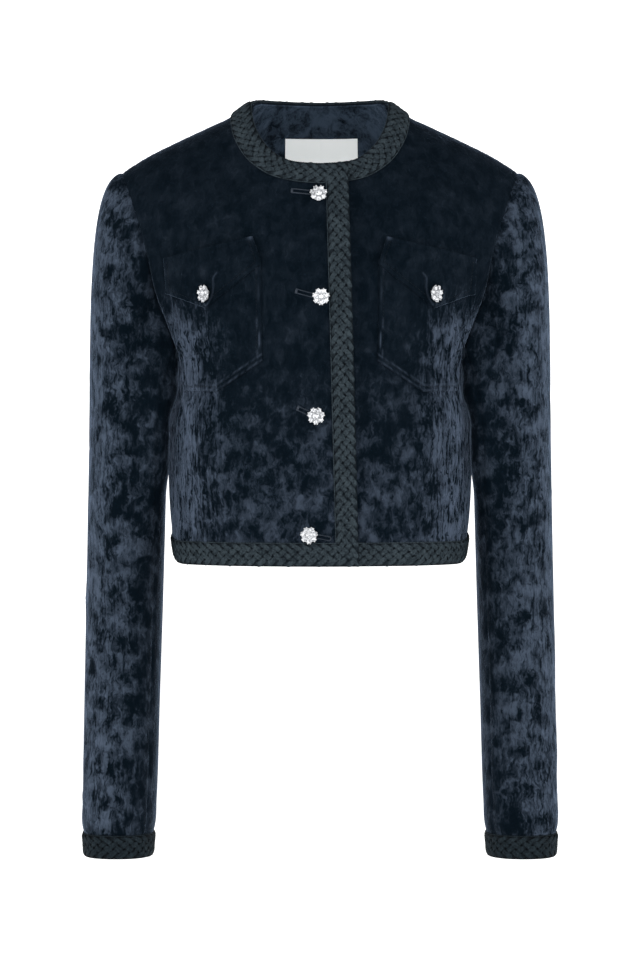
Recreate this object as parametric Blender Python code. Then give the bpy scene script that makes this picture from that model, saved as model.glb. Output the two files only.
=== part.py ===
"""A cropped, collarless velvet jacket with plaited braid edges and stone-set buttons, hollow as if worn.

Metres. X runs to the wearer's left, the front faces -Y and Z is up. The origin lies midway between the
middles of the two shoulder seams. A width u is counted from the centre towards a front's own side.
"""
import bmesh
import bpy
import numpy as np
from mathutils import Vector
from mathutils.bvhtree import BVHTree

for old in list(bpy.data.objects):
    bpy.data.objects.remove(old, do_unlink=True)

# Cloth
WALL = 0.0020
SEAM = 0.0003
REST = 0.0004

# Body: height, half width, depth in front, depth behind, squareness of the section
TORSO = (
    (-0.3842, 0.1310, 0.1040, 0.0910, 2.40),
    (-0.3450, 0.1358, 0.1055, 0.0920, 2.40),
    (-0.3080, 0.1378, 0.1080, 0.0940, 2.40),
    (-0.2700, 0.1393, 0.1115, 0.0965, 2.35),
    (-0.2480, 0.1376, 0.1140, 0.0990, 2.30),
    (-0.2250, 0.1328, 0.1160, 0.1020, 2.20),
    (-0.2120, 0.1318, 0.1170, 0.1030, 2.15),
    (-0.1800, 0.1430, 0.1180, 0.1060, 2.05),
    (-0.1400, 0.1600, 0.1150, 0.1080, 2.00),
    (-0.1000, 0.1780, 0.1060, 0.1090, 2.00),
    (-0.0600, 0.1960, 0.0920, 0.1060, 2.00),
    (-0.0250, 0.2080, 0.0780, 0.1020, 2.00),
    (0.0450, 0.2300, 0.0660, 0.0900, 2.00),
)
HEM = -0.3842
HEM_RISE = 0.0012
UNDERARM = -0.2120
SHOULDER_ROLL = 0.110

# Shoulder line: width, height; inside the neck it is only the line that the cloth bends towards
SHOULDER = (
    (0.0000, 0.0750),
    (0.0300, 0.0655),
    (0.0500, 0.0525),
    (0.0645, 0.0385),
    (0.0815, 0.0258),
    (0.1000, 0.0170),
    (0.1300, 0.0030),
    (0.1600, -0.0120),
    (0.1820, -0.0255),
    (0.2150, -0.0450),
)
NECK_POINT = 0.0645
SHOULDER_TIP = 0.1820

# Front neckline: station, cut edge width and height, lower line of its braid width and height
NECK_FRONT = (
    (0.0, 0.0000, -0.0255, 0.0000, -0.0430),
    (1.0, 0.0200, -0.0240, 0.0215, -0.0410),
    (2.0, 0.0330, -0.0205, 0.0420, -0.0360),
    (3.0, 0.0430, -0.0140, 0.0570, -0.0270),
    (4.0, 0.0515, -0.0050, 0.0685, -0.0155),
    (5.0, 0.0590, 0.0085, 0.0775, 0.0010),
    (6.0, 0.0630, 0.0230, 0.0810, 0.0150),
    (7.0, 0.0645, 0.0385, 0.0815, 0.0258),
)
# Back neckline: the same columns from the shoulder seam to the centre
NECK_BACK = (
    (0.0, 0.0645, 0.0385, 0.0815, 0.0258),
    (1.0, 0.0560, 0.0418, 0.0690, 0.0270),
    (2.0, 0.0400, 0.0438, 0.0490, 0.0282),
    (3.0, 0.0200, 0.0445, 0.0245, 0.0290),
    (4.0, 0.0000, 0.0447, 0.0000, 0.0293),
)

# Armhole: height, half width on the front, half width on the back
ARMHOLE = (
    (-0.2120, 0.1318, 0.1318),
    (-0.2040, 0.1292, 0.1294),
    (-0.1900, 0.1314, 0.1318),
    (-0.1700, 0.1385, 0.1385),
    (-0.1400, 0.1500, 0.1505),
    (-0.1000, 0.1585, 0.1610),
    (-0.0600, 0.1700, 0.1735),
    (-0.0255, 0.1820, 0.1820),
)

# Front edges: the right front laps over the left one
LAP_TOP = 0.0246
LAP_HEM = 0.0342
UNDER_LAP = 0.0200
UNDER_STEP = 0.0056
UNDER_FLAT = 0.045
UNDER_END = 0.100

# Folds of the body: degrees round from the front, height, length, width in degrees, lean, depth
BODY_FOLDS = (
    (48.0, -0.300, 0.130, 7.0, 30.0, 0.0022),
    (66.0, -0.275, 0.110, 7.0, -20.0, -0.0022),
    (80.0, -0.330, 0.090, 8.0, 20.0, 0.0016),
    (60.0, -0.150, 0.070, 8.0, 60.0, -0.0020),
    (118.0, -0.310, 0.120, 9.0, -30.0, 0.0020),
    (140.0, -0.230, 0.150, 9.0, 20.0, -0.0020),
)

# Sleeve: height, inner side, outer side, front, back, how far forward its inner side lies
SLEEVE = (
    (-0.2350, 0.1357, 0.2122, -0.0540, 0.0660, -0.034),
    (-0.2500, 0.1386, 0.2124, -0.0535, 0.0655, -0.035),
    (-0.2750, 0.1393, 0.2126, -0.0530, 0.0650, -0.034),
    (-0.3000, 0.1401, 0.2130, -0.0520, 0.0640, -0.030),
    (-0.3400, 0.1417, 0.2137, -0.0490, 0.0620, -0.018),
    (-0.4200, 0.1445, 0.2152, -0.0460, 0.0580, -0.004),
    (-0.5100, 0.1472, 0.2158, -0.0520, 0.0460, 0.000),
    (-0.6000, 0.1498, 0.2168, -0.0600, 0.0330, 0.000),
    (-0.6492, 0.1540, 0.2142, -0.0636, 0.0216, 0.000),
)
SLEEVE_SQUARE = 2.2
BICEP = -0.2350
CUFF = -0.6492
CAP_LIFT = 1.5
CAP_OUT = 0.0255
CAP_DOWN = 0.150
FRONT_SEAM = 0.105
BACK_SEAM = 0.865
# Folds of a sleeve: turn round from the inner side, height, length, width in turns, lean, depth
SLEEVE_FOLDS = (
    (0.28, -0.300, 0.110, 0.050, 0.30, 0.0018),
    (0.36, -0.395, 0.080, 0.055, -0.40, -0.0020),
    (0.22, -0.440, 0.070, 0.055, 0.50, 0.0018),
    (0.42, -0.540, 0.120, 0.050, 0.20, 0.0016),
    (0.70, -0.350, 0.120, 0.060, -0.30, -0.0020),
    (0.72, -0.470, 0.100, 0.060, 0.30, 0.0020),
)

# Braid
BRAID = 0.0200
BRAID_STEP = 0.0110
BRAID_EDGE = 0.0015
BRAID_CROWN = 0.0025
BRAID_PROUD = 0.0015
BRAID_GAP = 0.0008

# Pockets and flaps on the left front: width and height of each corner
POCKET_WALL = 0.0016
POCKET_TOP = ((0.0524, -0.1120), (0.0960, -0.1220), (0.1365, -0.1340))
POCKET_FOOT = ((0.0511, -0.2025), (0.0917, -0.2295), (0.1235, -0.2275))
FLAP_WALL = 0.0016
FLAP_TOP = ((0.0593, -0.0921), (0.0990, -0.1005), (0.1395, -0.1085))
FLAP_FOOT = ((0.0512, -0.1165), (0.1000, -0.1545), (0.1375, -0.1400))

# Buttons: sideways place and height on the right front from the neck down
BUTTONS = ((-0.0013, -0.0540), (0.0009, -0.1465), (-0.0035, -0.2509), (-0.0097, -0.3573))
BUTTON_RADIUS = 0.0082
BUTTON_HEIGHT = 0.0046
STONES = 7
BUTTON_GAP = 0.0005
SHANK_RADIUS = 0.0020
SHANK_LENGTH = 0.0028
POCKET_BUTTON = (0.0975, -0.1418)

# Facing and label inside the back neck
FACING_WALL = 0.0012
FACING_DEPTH = 0.078
FACING_FOOT_HALF = 0.080
LABEL_WALL = 0.0006
LABEL_HALF = 0.0355
LABEL_SHIFT = 0.0014
LABEL_TOP = 0.0158
LABEL_FOOT = -0.0250


def smooth(table, column, at):
    """A cubic through the rows of a table, read at values of its first column."""
    rows = np.asarray(table, float)
    rows = rows[np.argsort(rows[:, 0])]
    key = rows[:, 0]
    value = rows[:, column]
    slope = np.gradient(value, key)
    at = np.clip(np.asarray(at, float), key[0], key[-1])
    i = np.clip(np.searchsorted(key, at) - 1, 0, len(key) - 2)
    step = key[i + 1] - key[i]
    s = (at - key[i]) / step
    start = (1 + 2 * s) * (1 - s) ** 2 * value[i] + s * (1 - s) ** 2 * step * slope[i]
    end = s * s * (3 - 2 * s) * value[i + 1] + s * s * (s - 1) * step * slope[i + 1]
    return start + end


def unit(vectors):
    """Each vector divided by its length."""
    length = np.linalg.norm(vectors, axis=-1, keepdims=True)
    return vectors / np.maximum(length, 1e-12)


def torso(u, z, face, step=0.0):
    """Points of the cloth at width u and height z, in front (-1) or behind (+1); step sets it inwards."""
    u = np.asarray(u, float)
    z = np.asarray(z, float)
    width = smooth(TORSO, 1, z)
    depth = smooth(TORSO, 2 if face < 0 else 3, z)
    power = smooth(TORSO, 4, z)
    girth = np.clip(1 - np.clip(np.abs(u) / width, 0, 1) ** power, 0, 1) ** (1 / power)
    below = np.clip((smooth(SHOULDER, 1, np.abs(u)) - z) / SHOULDER_ROLL, 0, 1)
    roll = np.sqrt(1 - (1 - below) ** 2)
    s = np.clip((UNDER_END - u) / (UNDER_END - UNDER_FLAT), 0, 1)
    inward = step * s * s * (3 - 2 * s)
    y = face * (SEAM / 2 + np.maximum(depth * girth * roll - inward, 0))
    return np.stack([u, y, z], axis=-1)


def body_fold(points):
    """How far the folds lift the cloth at points round the body."""
    angle = np.degrees(np.arctan2(np.abs(points[..., 0]), -points[..., 1]))
    lift = np.zeros(angle.shape)
    for middle, height, length, width, lean, depth in BODY_FOLDS:
        along = (points[..., 2] - height) / length
        across = (angle - middle - lean * (points[..., 2] - height) / 0.1 * 0.3) / width
        lift += depth * np.exp(-2 * along ** 2) * np.exp(-across ** 2)
    return lift


def evenly(path, count):
    """A path and its directions at a count of places that lie equally far apart along it."""
    length = np.concatenate([[0], np.cumsum(np.linalg.norm(np.diff(path, axis=0), axis=1))])
    at = np.linspace(0, length[-1], count)
    points = np.stack([np.interp(at, length, path[:, k]) for k in range(3)], axis=1)
    direction = unit(np.gradient(path, axis=0))
    heading = np.stack([np.interp(at, length, direction[:, k]) for k in range(3)], axis=1)
    return points, unit(heading)


def armhole_path(face, count=300):
    """The armhole's edge on one face from the underarm to the shoulder tip, as widths and heights."""
    share = np.linspace(0, 1, count)
    z = UNDERARM + (smooth(SHOULDER, 1, SHOULDER_TIP) - UNDERARM) * (1 - np.cos(np.pi * share)) / 2
    u = smooth(ARMHOLE, 1 if face < 0 else 2, z)
    points = torso(u, z, face)
    length = np.concatenate([[0], np.cumsum(np.linalg.norm(np.diff(points, axis=0), axis=1))])
    return length / length[-1], u, z


def armhole_at(face, share):
    """Width and height of the armhole's edge at a share of its length."""
    length, u, z = armhole_path(face)
    return np.interp(share, length, u), np.interp(share, length, z)


def neck_front(station, line):
    """Width and height on the front neckline's cut edge (line 0) or its braid's lower line (1)."""
    u = np.sign(station) * smooth(NECK_FRONT, 1 + 2 * line, np.abs(station))
    return u, smooth(NECK_FRONT, 2 + 2 * line, np.abs(station))


def neck_station(lap):
    """The station, past the centre, at which the front neckline meets a front edge."""
    stations = np.linspace(-4, 0, 400)
    return float(np.interp(-lap, neck_front(stations, 0)[0], stations))


def row_path(left, right, follow, face, step=0.0, count=320):
    """One row of cloth between two edges, bent towards the shoulder line by follow; below 0 it only bows."""
    s = np.linspace(0, 1, count)
    ease = np.sin(1.53 * s) / np.sin(1.53)
    u = left[0] + (right[0] - left[0]) * ease
    line = smooth(SHOULDER, 1, np.abs(u))
    bend = line - (line[0] + (line[-1] - line[0]) * ease)
    rise = ease if follow >= 0 else (u / right[0]) ** 2
    z = left[1] + (right[1] - left[1]) * rise + max(follow, 0) * bend
    return torso(u, z, face, step)


def front_grid(lap_top, lap_hem, step, columns=13):
    """Rows of a front from the hem to the shoulder seam, with the direction of each row."""
    corner = neck_station(lap_top)
    corner_z = float(neck_front(corner, 0)[1])
    stations = np.linspace(corner, 7, 300)
    edge_u, edge_z = neck_front(stations, 0)
    edge = torso(edge_u, edge_z, -1)
    edge_length = np.concatenate([[0], np.cumsum(np.linalg.norm(np.diff(edge, axis=0), axis=1))])
    edge_share = edge_length / edge_length[-1]
    pairs = []
    for share in np.linspace(0, 1, 9):
        left_z = HEM + (UNDERARM + 0.012 - HEM) * share
        right_z = HEM + HEM_RISE + (UNDERARM - HEM - HEM_RISE) * share
        lap = lap_hem + (lap_top - lap_hem) * (left_z - HEM) / (corner_z - HEM)
        pairs.append(((-lap, left_z), (float(smooth(TORSO, 1, right_z)), right_z), -1.0))
    for share in np.linspace(0, 1, 7)[1:]:
        left_z = UNDERARM + 0.012 + (corner_z - UNDERARM - 0.012) * share
        lap = lap_hem + (lap_top - lap_hem) * (left_z - HEM) / (corner_z - HEM)
        u, z = armhole_at(-1, 0.42 * share)
        pairs.append(((-lap, left_z), (float(u), float(z)), 0.0))
    for share in np.linspace(0, 1, 9)[1:]:
        left = (float(np.interp(share, edge_share, edge_u)), float(np.interp(share, edge_share, edge_z)))
        u, z = armhole_at(-1, 0.42 + 0.58 * share)
        pairs.append((left, (float(u), float(z)), float(share)))
    rows = [evenly(row_path(left, right, follow, -1, step), columns) for left, right, follow in pairs]
    return np.array([row[0] for row in rows]), np.array([row[1] for row in rows])


def back_grid(side_columns=8, neck_columns=8):
    """Rows of the back from the hem to the shoulder seams and neckline."""
    tip_z = float(smooth(SHOULDER, 1, SHOULDER_TIP))
    neck_u = np.asarray(NECK_BACK)[::-1, 1]
    neck_z = np.asarray(NECK_BACK)[::-1, 2]

    def top(u):
        """The back's upper edge: neckline inside the neck points, shoulder seams outside."""
        outside = np.abs(u) >= NECK_POINT
        return np.where(outside, smooth(SHOULDER, 1, np.abs(u)), np.interp(np.abs(u), neck_u, neck_z))

    ends = []
    for share in np.linspace(0, 1, 9):
        z = HEM + HEM_RISE + (UNDERARM - HEM - HEM_RISE) * share
        ends.append((float(smooth(TORSO, 1, z)), z, share - 1))
    for share in np.linspace(0, 1, 12)[1:]:
        u, z = armhole_at(1, share)
        ends.append((float(u), float(z), float(share * share * (3 - 2 * share))))
    points = []
    headings = []
    for half, z, follow in ends:
        s = np.linspace(0, 1, 240)
        side = NECK_POINT + (half - NECK_POINT) * np.sin(1.53 * s) / np.sin(1.53)
        middle = np.linspace(0, NECK_POINT, 160)
        centre = np.concatenate([-middle[::-1], middle[1:]])
        parts = []
        for u, count in ((-side[::-1], side_columns), (centre, neck_columns), (side, side_columns)):
            bow = HEM_RISE * (1 - (u / half) ** 2) * min(follow, 0)
            path = torso(u, z + bow + max(follow, 0) * (top(u) - tip_z), 1)
            parts.append(evenly(path, count))
        points.append(np.concatenate([parts[0][0], parts[1][0][1:-1], parts[2][0]]))
        headings.append(np.concatenate([parts[0][1], parts[1][1][1:-1], parts[2][1]]))
    return np.array(points), np.array(headings)


def outward(points, headings, flip):
    """Directions out of a sheet from its row directions and the lines that cross the rows."""
    across = np.gradient(points, axis=0)
    return unit(np.cross(headings, across) * flip)


def solid(name, points, faces, material):
    """A named closed body with its faces turned out."""
    mesh = bpy.data.meshes.new(name)
    mesh.from_pydata([tuple(p) for p in points], [], faces)
    body = bmesh.new()
    body.from_mesh(mesh)
    bmesh.ops.triangulate(body, faces=body.faces)
    bmesh.ops.recalc_face_normals(body, faces=body.faces)
    body.to_mesh(mesh)
    body.free()
    mesh.materials.append(material)
    made = bpy.data.objects.new(name, mesh)
    bpy.context.scene.collection.objects.link(made)
    return made


def sheet(name, outer, inner, material, ring=False):
    """A wall between two grids of points, closed round its edges; ring joins its two ends."""
    rows, columns = outer.shape[:2]
    count = rows * columns
    index = np.arange(count).reshape(rows, columns)
    if ring:
        index = np.concatenate([index, index[:, :1]], axis=1)
    faces = []
    for near, far in ((index, 0), (index, count)):
        corners = [near[:-1, :-1], near[:-1, 1:], near[1:, 1:], near[1:, :-1]]
        quads = np.stack(corners, axis=-1).reshape(-1, 4) + far
        faces += (quads if far == 0 else quads[:, ::-1]).tolist()
    edges = [index[0], index[-1]]
    if not ring:
        edges += [index[:, 0], index[:, -1]]
    for line in edges:
        for a, b in zip(line[:-1].tolist(), line[1:].tolist()):
            faces.append([a, b, b + count, a + count])
    points = np.concatenate([outer.reshape(-1, 3), inner.reshape(-1, 3)])
    return solid(name, points, faces, material)


def shade(name, colour, roughness, metallic=0.0):
    """A plain material."""
    made = bpy.data.materials.new(name)
    made.use_nodes = True
    surface = made.node_tree.nodes["Principled BSDF"]
    surface.inputs["Base Color"].default_value = (*colour, 1.0)
    surface.inputs["Roughness"].default_value = roughness
    surface.inputs["Metallic"].default_value = metallic
    return made


velvet = shade("velvet", (0.012, 0.018, 0.032), 0.75)
braid = shade("braid", (0.035, 0.045, 0.056), 0.70)
crystal = shade("crystal", (0.85, 0.87, 0.90), 0.08)
ribbon = shade("label", (0.80, 0.79, 0.77), 0.60)


def tree_of(*objects):
    """A search tree over the faces of finished bodies."""
    points = []
    faces = []
    for item in objects:
        base = len(points)
        points += [v.co.copy() for v in item.data.vertices]
        faces += [[base + i for i in face.vertices] for face in item.data.polygons]
    return BVHTree.FromPolygons(points, faces)


def drop(points, normals, tree, reach=0.012):
    """Where lines along the normals meet finished bodies from above, and which of them do."""
    found = points.copy()
    met = np.zeros(len(points), bool)
    for k in range(len(points)):
        hit = tree.ray_cast(Vector(points[k] + normals[k] * reach), Vector(-normals[k]), 2 * reach)[0]
        if hit is not None:
            found[k] = hit
            met[k] = True
    return found, met


def raised(grid, normals, tree, gap):
    """A grid lifted until it is a gap above finished bodies, between its points too."""
    shape = grid.shape
    for again in range(4):
        lift = np.zeros(shape[:2])
        for i, j, k, m in ((0, 0, 0, 1), (0, 0, 1, 0), (0, 0, 1, 1), (0, 1, 1, 0)):
            rows = shape[0] - max(i, k)
            columns = shape[1] - max(j, m)
            one = (slice(i, i + rows), slice(j, j + columns))
            two = (slice(k, k + rows), slice(m, m + columns))
            for share in (0.25, 0.5, 0.75):
                place = (grid[one] * (1 - share) + grid[two] * share).reshape(-1, 3)
                line = unit(normals[one] + normals[two]).reshape(-1, 3)
                under, hit = drop(place, line, tree)
                want = np.where(hit, gap - np.sum((place - under) * line, axis=1), 0).reshape(rows, columns)
                lift[one] = np.maximum(lift[one], want)
                lift[two] = np.maximum(lift[two], want)
        grid = grid + normals * np.clip(lift, 0, None)[..., None]
    return grid


def laid(points, normals, tree, gap):
    """A grid dropped on finished bodies and held a gap above them."""
    found, met = drop(points.reshape(-1, 3), normals.reshape(-1, 3), tree)
    return raised(found.reshape(points.shape) + normals * gap, normals, tree, gap)


def mirrored(grid):
    """A grid on the other side of the centre."""
    return grid * np.array([-1.0, 1.0, 1.0])


def front(name, lap_top, lap_hem, step, side):
    """One front panel; side is +1 for the wearer's left and -1 for the right."""
    points, headings = front_grid(lap_top, lap_hem, step)
    normal = outward(points, headings, 1)
    normal[:9, -1, 1] = 0
    normal[-1, :, 1] = 0
    normal = unit(normal)
    outer = points + normal * body_fold(points)[..., None]
    inner = outer - normal * WALL
    if side < 0:
        outer, inner = mirrored(outer), mirrored(inner)
    return sheet(name, outer, inner, velvet)


front_right = front("front_right", LAP_TOP, LAP_HEM, 0.0, -1)
front_left = front("front_left", UNDER_LAP, UNDER_LAP, UNDER_STEP, 1)

# Back
back_points, back_headings = back_grid()
back_normal = outward(back_points, back_headings, -1)
back_normal[:9, 0, 1] = 0
back_normal[:9, -1, 1] = 0
seam_columns = np.abs(back_points[-1, :, 0]) > NECK_POINT - 1e-4
back_normal[-1, seam_columns, 1] = 0
back_normal = unit(back_normal)
back_outer = back_points + back_normal * body_fold(back_points)[..., None]
back_inner = back_outer - back_normal * WALL
back = sheet("back", back_outer, back_inner, velvet)


def sleeve(turn, level):
    """Points of the left sleeve; level 0 is the armhole, 1 the upper arm and 2 the cuff.

    Above the upper arm each line is a cubic from the armhole's edge to the ring below it; the cap starts
    outwards so that it rolls over the shoulder. Below it the rings follow the sleeve's table.
    """
    turn, level = np.broadcast_arrays(np.asarray(turn, float) % 1.0, np.asarray(level, float))
    height = BICEP + (CUFF - BICEP) * np.clip(level - 1, 0, 1)
    inner, outer, fore, aft, ahead = (smooth(SLEEVE, k, height) for k in (1, 2, 3, 4, 5))
    angle = 2 * np.pi * turn
    across = -np.sign(np.cos(angle)) * np.abs(np.cos(angle)) ** (2 / SLEEVE_SQUARE)
    along = -np.sign(np.sin(angle)) * np.abs(np.sin(angle)) ** (2 / SLEEVE_SQUARE)
    ring = np.stack([(inner + outer) / 2 + across * (outer - inner) / 2,
                     (fore + aft) / 2 + along * (aft - fore) / 2 + ahead * np.clip(-across, 0, 1) ** 2,
                     height], axis=-1)
    on_front = turn <= 0.5
    share = np.where(on_front, turn * 2, 2 - turn * 2)
    fu, fz = armhole_at(-1, share)
    bu, bz = armhole_at(1, share)
    edge = np.where(on_front[..., None], torso(fu, fz, -1), torso(bu, bz, 1))
    away = unit(ring - edge)
    top = np.clip(-np.cos(angle), 0, 1) ** 1.5
    lift = (CAP_LIFT * top)[..., None] * np.array([1.0, 0.0, 0.45])
    leave = unit(away + lift)
    span = np.linalg.norm(ring - edge, axis=-1)
    reach_out = (0.30 * span * (1 - top) + CAP_OUT * top)[..., None]
    reach_down = (0.35 * span * (1 - top) + CAP_DOWN * top)[..., None]
    out = np.array([1.0, 0.0, 0.0]) * (1 - top)[..., None] + leave * top[..., None]
    p0 = edge + unit(out) * SEAM * 1.6
    p1 = p0 + leave * reach_out
    p2 = ring + np.array([0.0, 0.0, 1.0]) * reach_down
    t = np.clip(level, 0, 1)[..., None]
    cap = p0 * (1 - t) ** 3 + 3 * p1 * t * (1 - t) ** 2 + 3 * p2 * t * t * (1 - t) + ring * t ** 3
    return np.where((level <= 1)[..., None], cap, ring)


def sleeve_fold(turn, points):
    """How far the folds lift the sleeve's cloth."""
    turn = np.asarray(turn) % 1.0
    lift = np.zeros(points.shape[:-1])
    for middle, height, length, width, lean, depth in SLEEVE_FOLDS:
        along = (points[..., 2] - height) / length
        across = (turn - middle - lean * (points[..., 2] - height)) / width
        lift += depth * np.exp(-2 * along ** 2) * np.exp(-across ** 2)
    return lift


def sleeve_wall(turns, levels):
    """The outer and inner points of a part of the left sleeve."""
    turn, level = np.meshgrid(turns, levels)
    points = sleeve(turn, level)
    around = sleeve(turn + 1e-4, level) - sleeve(turn - 1e-4, level)
    low = np.clip(level - 1e-3, 0, 2)
    high = np.clip(level + 1e-3, 0, 2)
    down = sleeve(turn, high) - sleeve(turn, low)
    normal = unit(np.cross(down, around))
    outer = points + normal * sleeve_fold(turn, points)[..., None]
    return outer, outer - normal * WALL


SLEEVE_LEVELS = np.concatenate([np.array([0, 0.06, 0.15, 0.28, 0.45, 0.62, 0.80]), np.linspace(1, 2, 15)])
SEAM_TURN = SEAM / 2 / 0.27
TOP_TURNS = np.linspace(FRONT_SEAM + SEAM_TURN, BACK_SEAM - SEAM_TURN, 15)
UNDER_TURNS = np.linspace(BACK_SEAM - 1 + SEAM_TURN, FRONT_SEAM - SEAM_TURN, 7)
sleeves = {}
for part, turns in (("top_sleeve", TOP_TURNS), ("under_sleeve", UNDER_TURNS)):
    wall_outer, wall_inner = sleeve_wall(turns, SLEEVE_LEVELS)
    sleeves[part + "_left"] = sheet(part + "_left", wall_outer, wall_inner, velvet)
    sleeves[part + "_right"] = sheet(part + "_right", mirrored(wall_outer), mirrored(wall_inner), velvet)


def strip(name, base, normal, ring=False):
    """A flat braid on a line of stations three points wide, a little crowned over a plain inside."""
    rise = np.array([BRAID_EDGE, BRAID_CROWN, BRAID_EDGE])[None, :, None]
    over = base + normal * rise
    return sheet(name, over.swapaxes(0, 1), base.swapaxes(0, 1), braid, ring=ring)


def band(edge, line, trees, heart, proud, ring=False):
    """Stations of a braid between a cut edge and a line beside it: three points across, with their normals.

    The normals point away from the heart, a place inside the cloth. The first half of the stations lies on
    the first of two trees and the rest on the second.
    """
    if ring:
        edge = np.concatenate([edge, edge[:1]])
        line = np.concatenate([line, line[:1]])
    middle = (edge + line) / 2
    length = np.concatenate([[0], np.cumsum(np.linalg.norm(np.diff(middle, axis=0), axis=1))])
    at = np.linspace(0, length[-1], int(round(length[-1] / BRAID_STEP)) + 1)
    ends = [np.stack([np.interp(at, length, side[:, k]) for k in range(3)], axis=1) for side in (edge, line)]
    share = np.linspace(0, 1, 3)[None, :, None]
    base = ends[0][:, None] * (1 - share) + ends[1][:, None] * share
    along = np.gradient(base, axis=0)
    if ring:
        along[0] = along[-1] = base[1] - base[-2]
    normal = unit(np.cross(along, np.broadcast_to(base[:, 2:3] - base[:, 0:1], base.shape)))
    if np.sum((base - np.asarray(heart)) * normal) < 0:
        normal = -normal
    first = (np.arange(len(base)) < len(base) / 2)[:, None, None]
    base = np.where(first, laid(base, normal, trees[0], REST), laid(base, normal, trees[-1], REST))
    base[:, 0] += unit(base[:, 0] - base[:, 1]) * proud
    if ring:
        both = np.maximum(np.sum(base[0] * normal[0], axis=-1), np.sum(base[-1] * normal[0], axis=-1))
        base[0] += normal[0] * (both - np.sum(base[0] * normal[0], axis=-1))[:, None]
        return base[:-1], normal[:-1]
    return base, normal


# Neck braid, from the right front's edge round the back to the left front's edge
round_trees = (tree_of(front_right, back), tree_of(front_left, back))
stations = np.linspace(neck_station(LAP_TOP) + 0.02, 7, 260)
back_stations = np.linspace(0, 8, 260)[1:]
under_stations = np.linspace(7, neck_station(UNDER_LAP) + 0.02, 240)[1:]
neck_lines = []
for line in (0, 1):
    u, z = neck_front(stations, line)
    right = mirrored(torso(u, z, -1))
    shift = np.where(back_stations <= 4, back_stations, 8 - back_stations)
    bu = smooth(NECK_BACK, 1 + 2 * line, shift) * np.where(back_stations <= 4, -1, 1)
    behind = torso(bu, smooth(NECK_BACK, 2 + 2 * line, shift), 1)
    u, z = neck_front(under_stations, line)
    left = torso(u, z, -1, UNDER_STEP)
    neck_lines.append(np.concatenate([right, behind, left]))
base, normal = band(neck_lines[0], neck_lines[1], round_trees, (0, 0, -0.15), BRAID_PROUD)
neck_braid = strip("neck_braid", base, normal)

def hem_line(above):
    """The hem's line round the jacket from the front braid to the left edge, a distance above its edge."""
    half = float(smooth(TORSO, 1, HEM + HEM_RISE + above))
    ease = np.sin(1.53 * np.linspace(0, 1, 300)) / np.sin(1.53)
    start = -LAP_HEM + BRAID + BRAID_GAP
    right_u = start + (half - start) * ease
    back_u = np.concatenate([-half * ease[::-1], half * ease[1:]])
    end = -UNDER_LAP + 0.0004
    left_u = (end + (half - end) * ease)[::-1]
    low = HEM + above
    right = mirrored(torso(right_u, low + HEM_RISE * (right_u / half) ** 2, -1))
    behind = torso(back_u, low + HEM_RISE * (back_u / half) ** 2, 1)
    left = torso(left_u, low + HEM_RISE * (left_u / half) ** 2, -1, UNDER_STEP)
    lift = np.concatenate([right, behind, left])
    side = unit(lift * np.array([1.0, 1.0, 0.0]))
    return lift + side * body_fold(lift)[:, None]


# Hem braid, the same way round
base, normal = band(hem_line(0.0002), hem_line(BRAID), round_trees, (0, 0, HEM), BRAID_PROUD)
hem_braid = strip("hem_braid", base, normal)

# Front braid, down the right front's edge from the neck braid to the foot of the hem
corner_z = float(neck_front(neck_station(LAP_TOP), 0)[1])
edge_z = np.linspace(-0.0442, HEM - 0.0011, 240)
lap = LAP_HEM + (LAP_TOP - LAP_HEM) * (edge_z - HEM) / (corner_z - HEM)
right_tree = tree_of(front_right)
edge_line = mirrored(torso(-lap + 0.0004, edge_z, -1))
inner_line = mirrored(torso(-lap + BRAID, edge_z, -1))
base, normal = band(edge_line, inner_line, (right_tree,), (0, 0, -0.2), BRAID_PROUD * 0.6)
front_braid = strip("front_braid", base, normal)

# Cuff braids
cuff_turns = np.linspace(0, 1, 400, endpoint=False)
cuff_level = 2 - BRAID / (BICEP - CUFF)


def cuff_line(level):
    """The left sleeve's line at one level, folds included."""
    return sleeve(cuff_turns, level)


left_tree = tree_of(sleeves["top_sleeve_left"], sleeves["under_sleeve_left"])
cuff_heart = cuff_line(1.97).mean(axis=0)
cuff_lines = (cuff_line(1.9995), cuff_line(cuff_level))
base, normal = band(*cuff_lines, (left_tree,), cuff_heart, BRAID_PROUD, ring=True)
strip("cuff_braid_left", base, normal, ring=True)
strip("cuff_braid_right", mirrored(base), mirrored(normal), ring=True)


def patch(top, foot, columns, rows):
    """Widths and heights of a patch between a top line and a foot line of three corners each."""
    share = np.linspace(0, 2, columns // 2 * 2 + 1)
    upper = np.stack([np.interp(share, [0, 1, 2], np.array(top)[:, k]) for k in (0, 1)], axis=1)
    lower = np.stack([np.interp(share, [0, 1, 2], np.array(foot)[:, k]) for k in (0, 1)], axis=1)
    down = np.linspace(0, 1, rows)[:, None, None]
    return upper[None] * (1 - down) + lower[None] * down


def on_front(places, side):
    """Points of a patch on a front and their normals out."""
    step = UNDER_STEP if side > 0 else 0.0
    points = torso(places[..., 0], places[..., 1], -1, step)
    nudge = 0.0008
    along_u = torso(places[..., 0] + nudge, places[..., 1], -1, step) - \
        torso(places[..., 0] - nudge, places[..., 1], -1, step)
    along_z = torso(places[..., 0], places[..., 1] + nudge, -1, step) - \
        torso(places[..., 0], places[..., 1] - nudge, -1, step)
    normal = unit(np.cross(along_u, along_z))
    if side < 0:
        points, normal = mirrored(points), mirrored(normal)
    return points, normal


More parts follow.
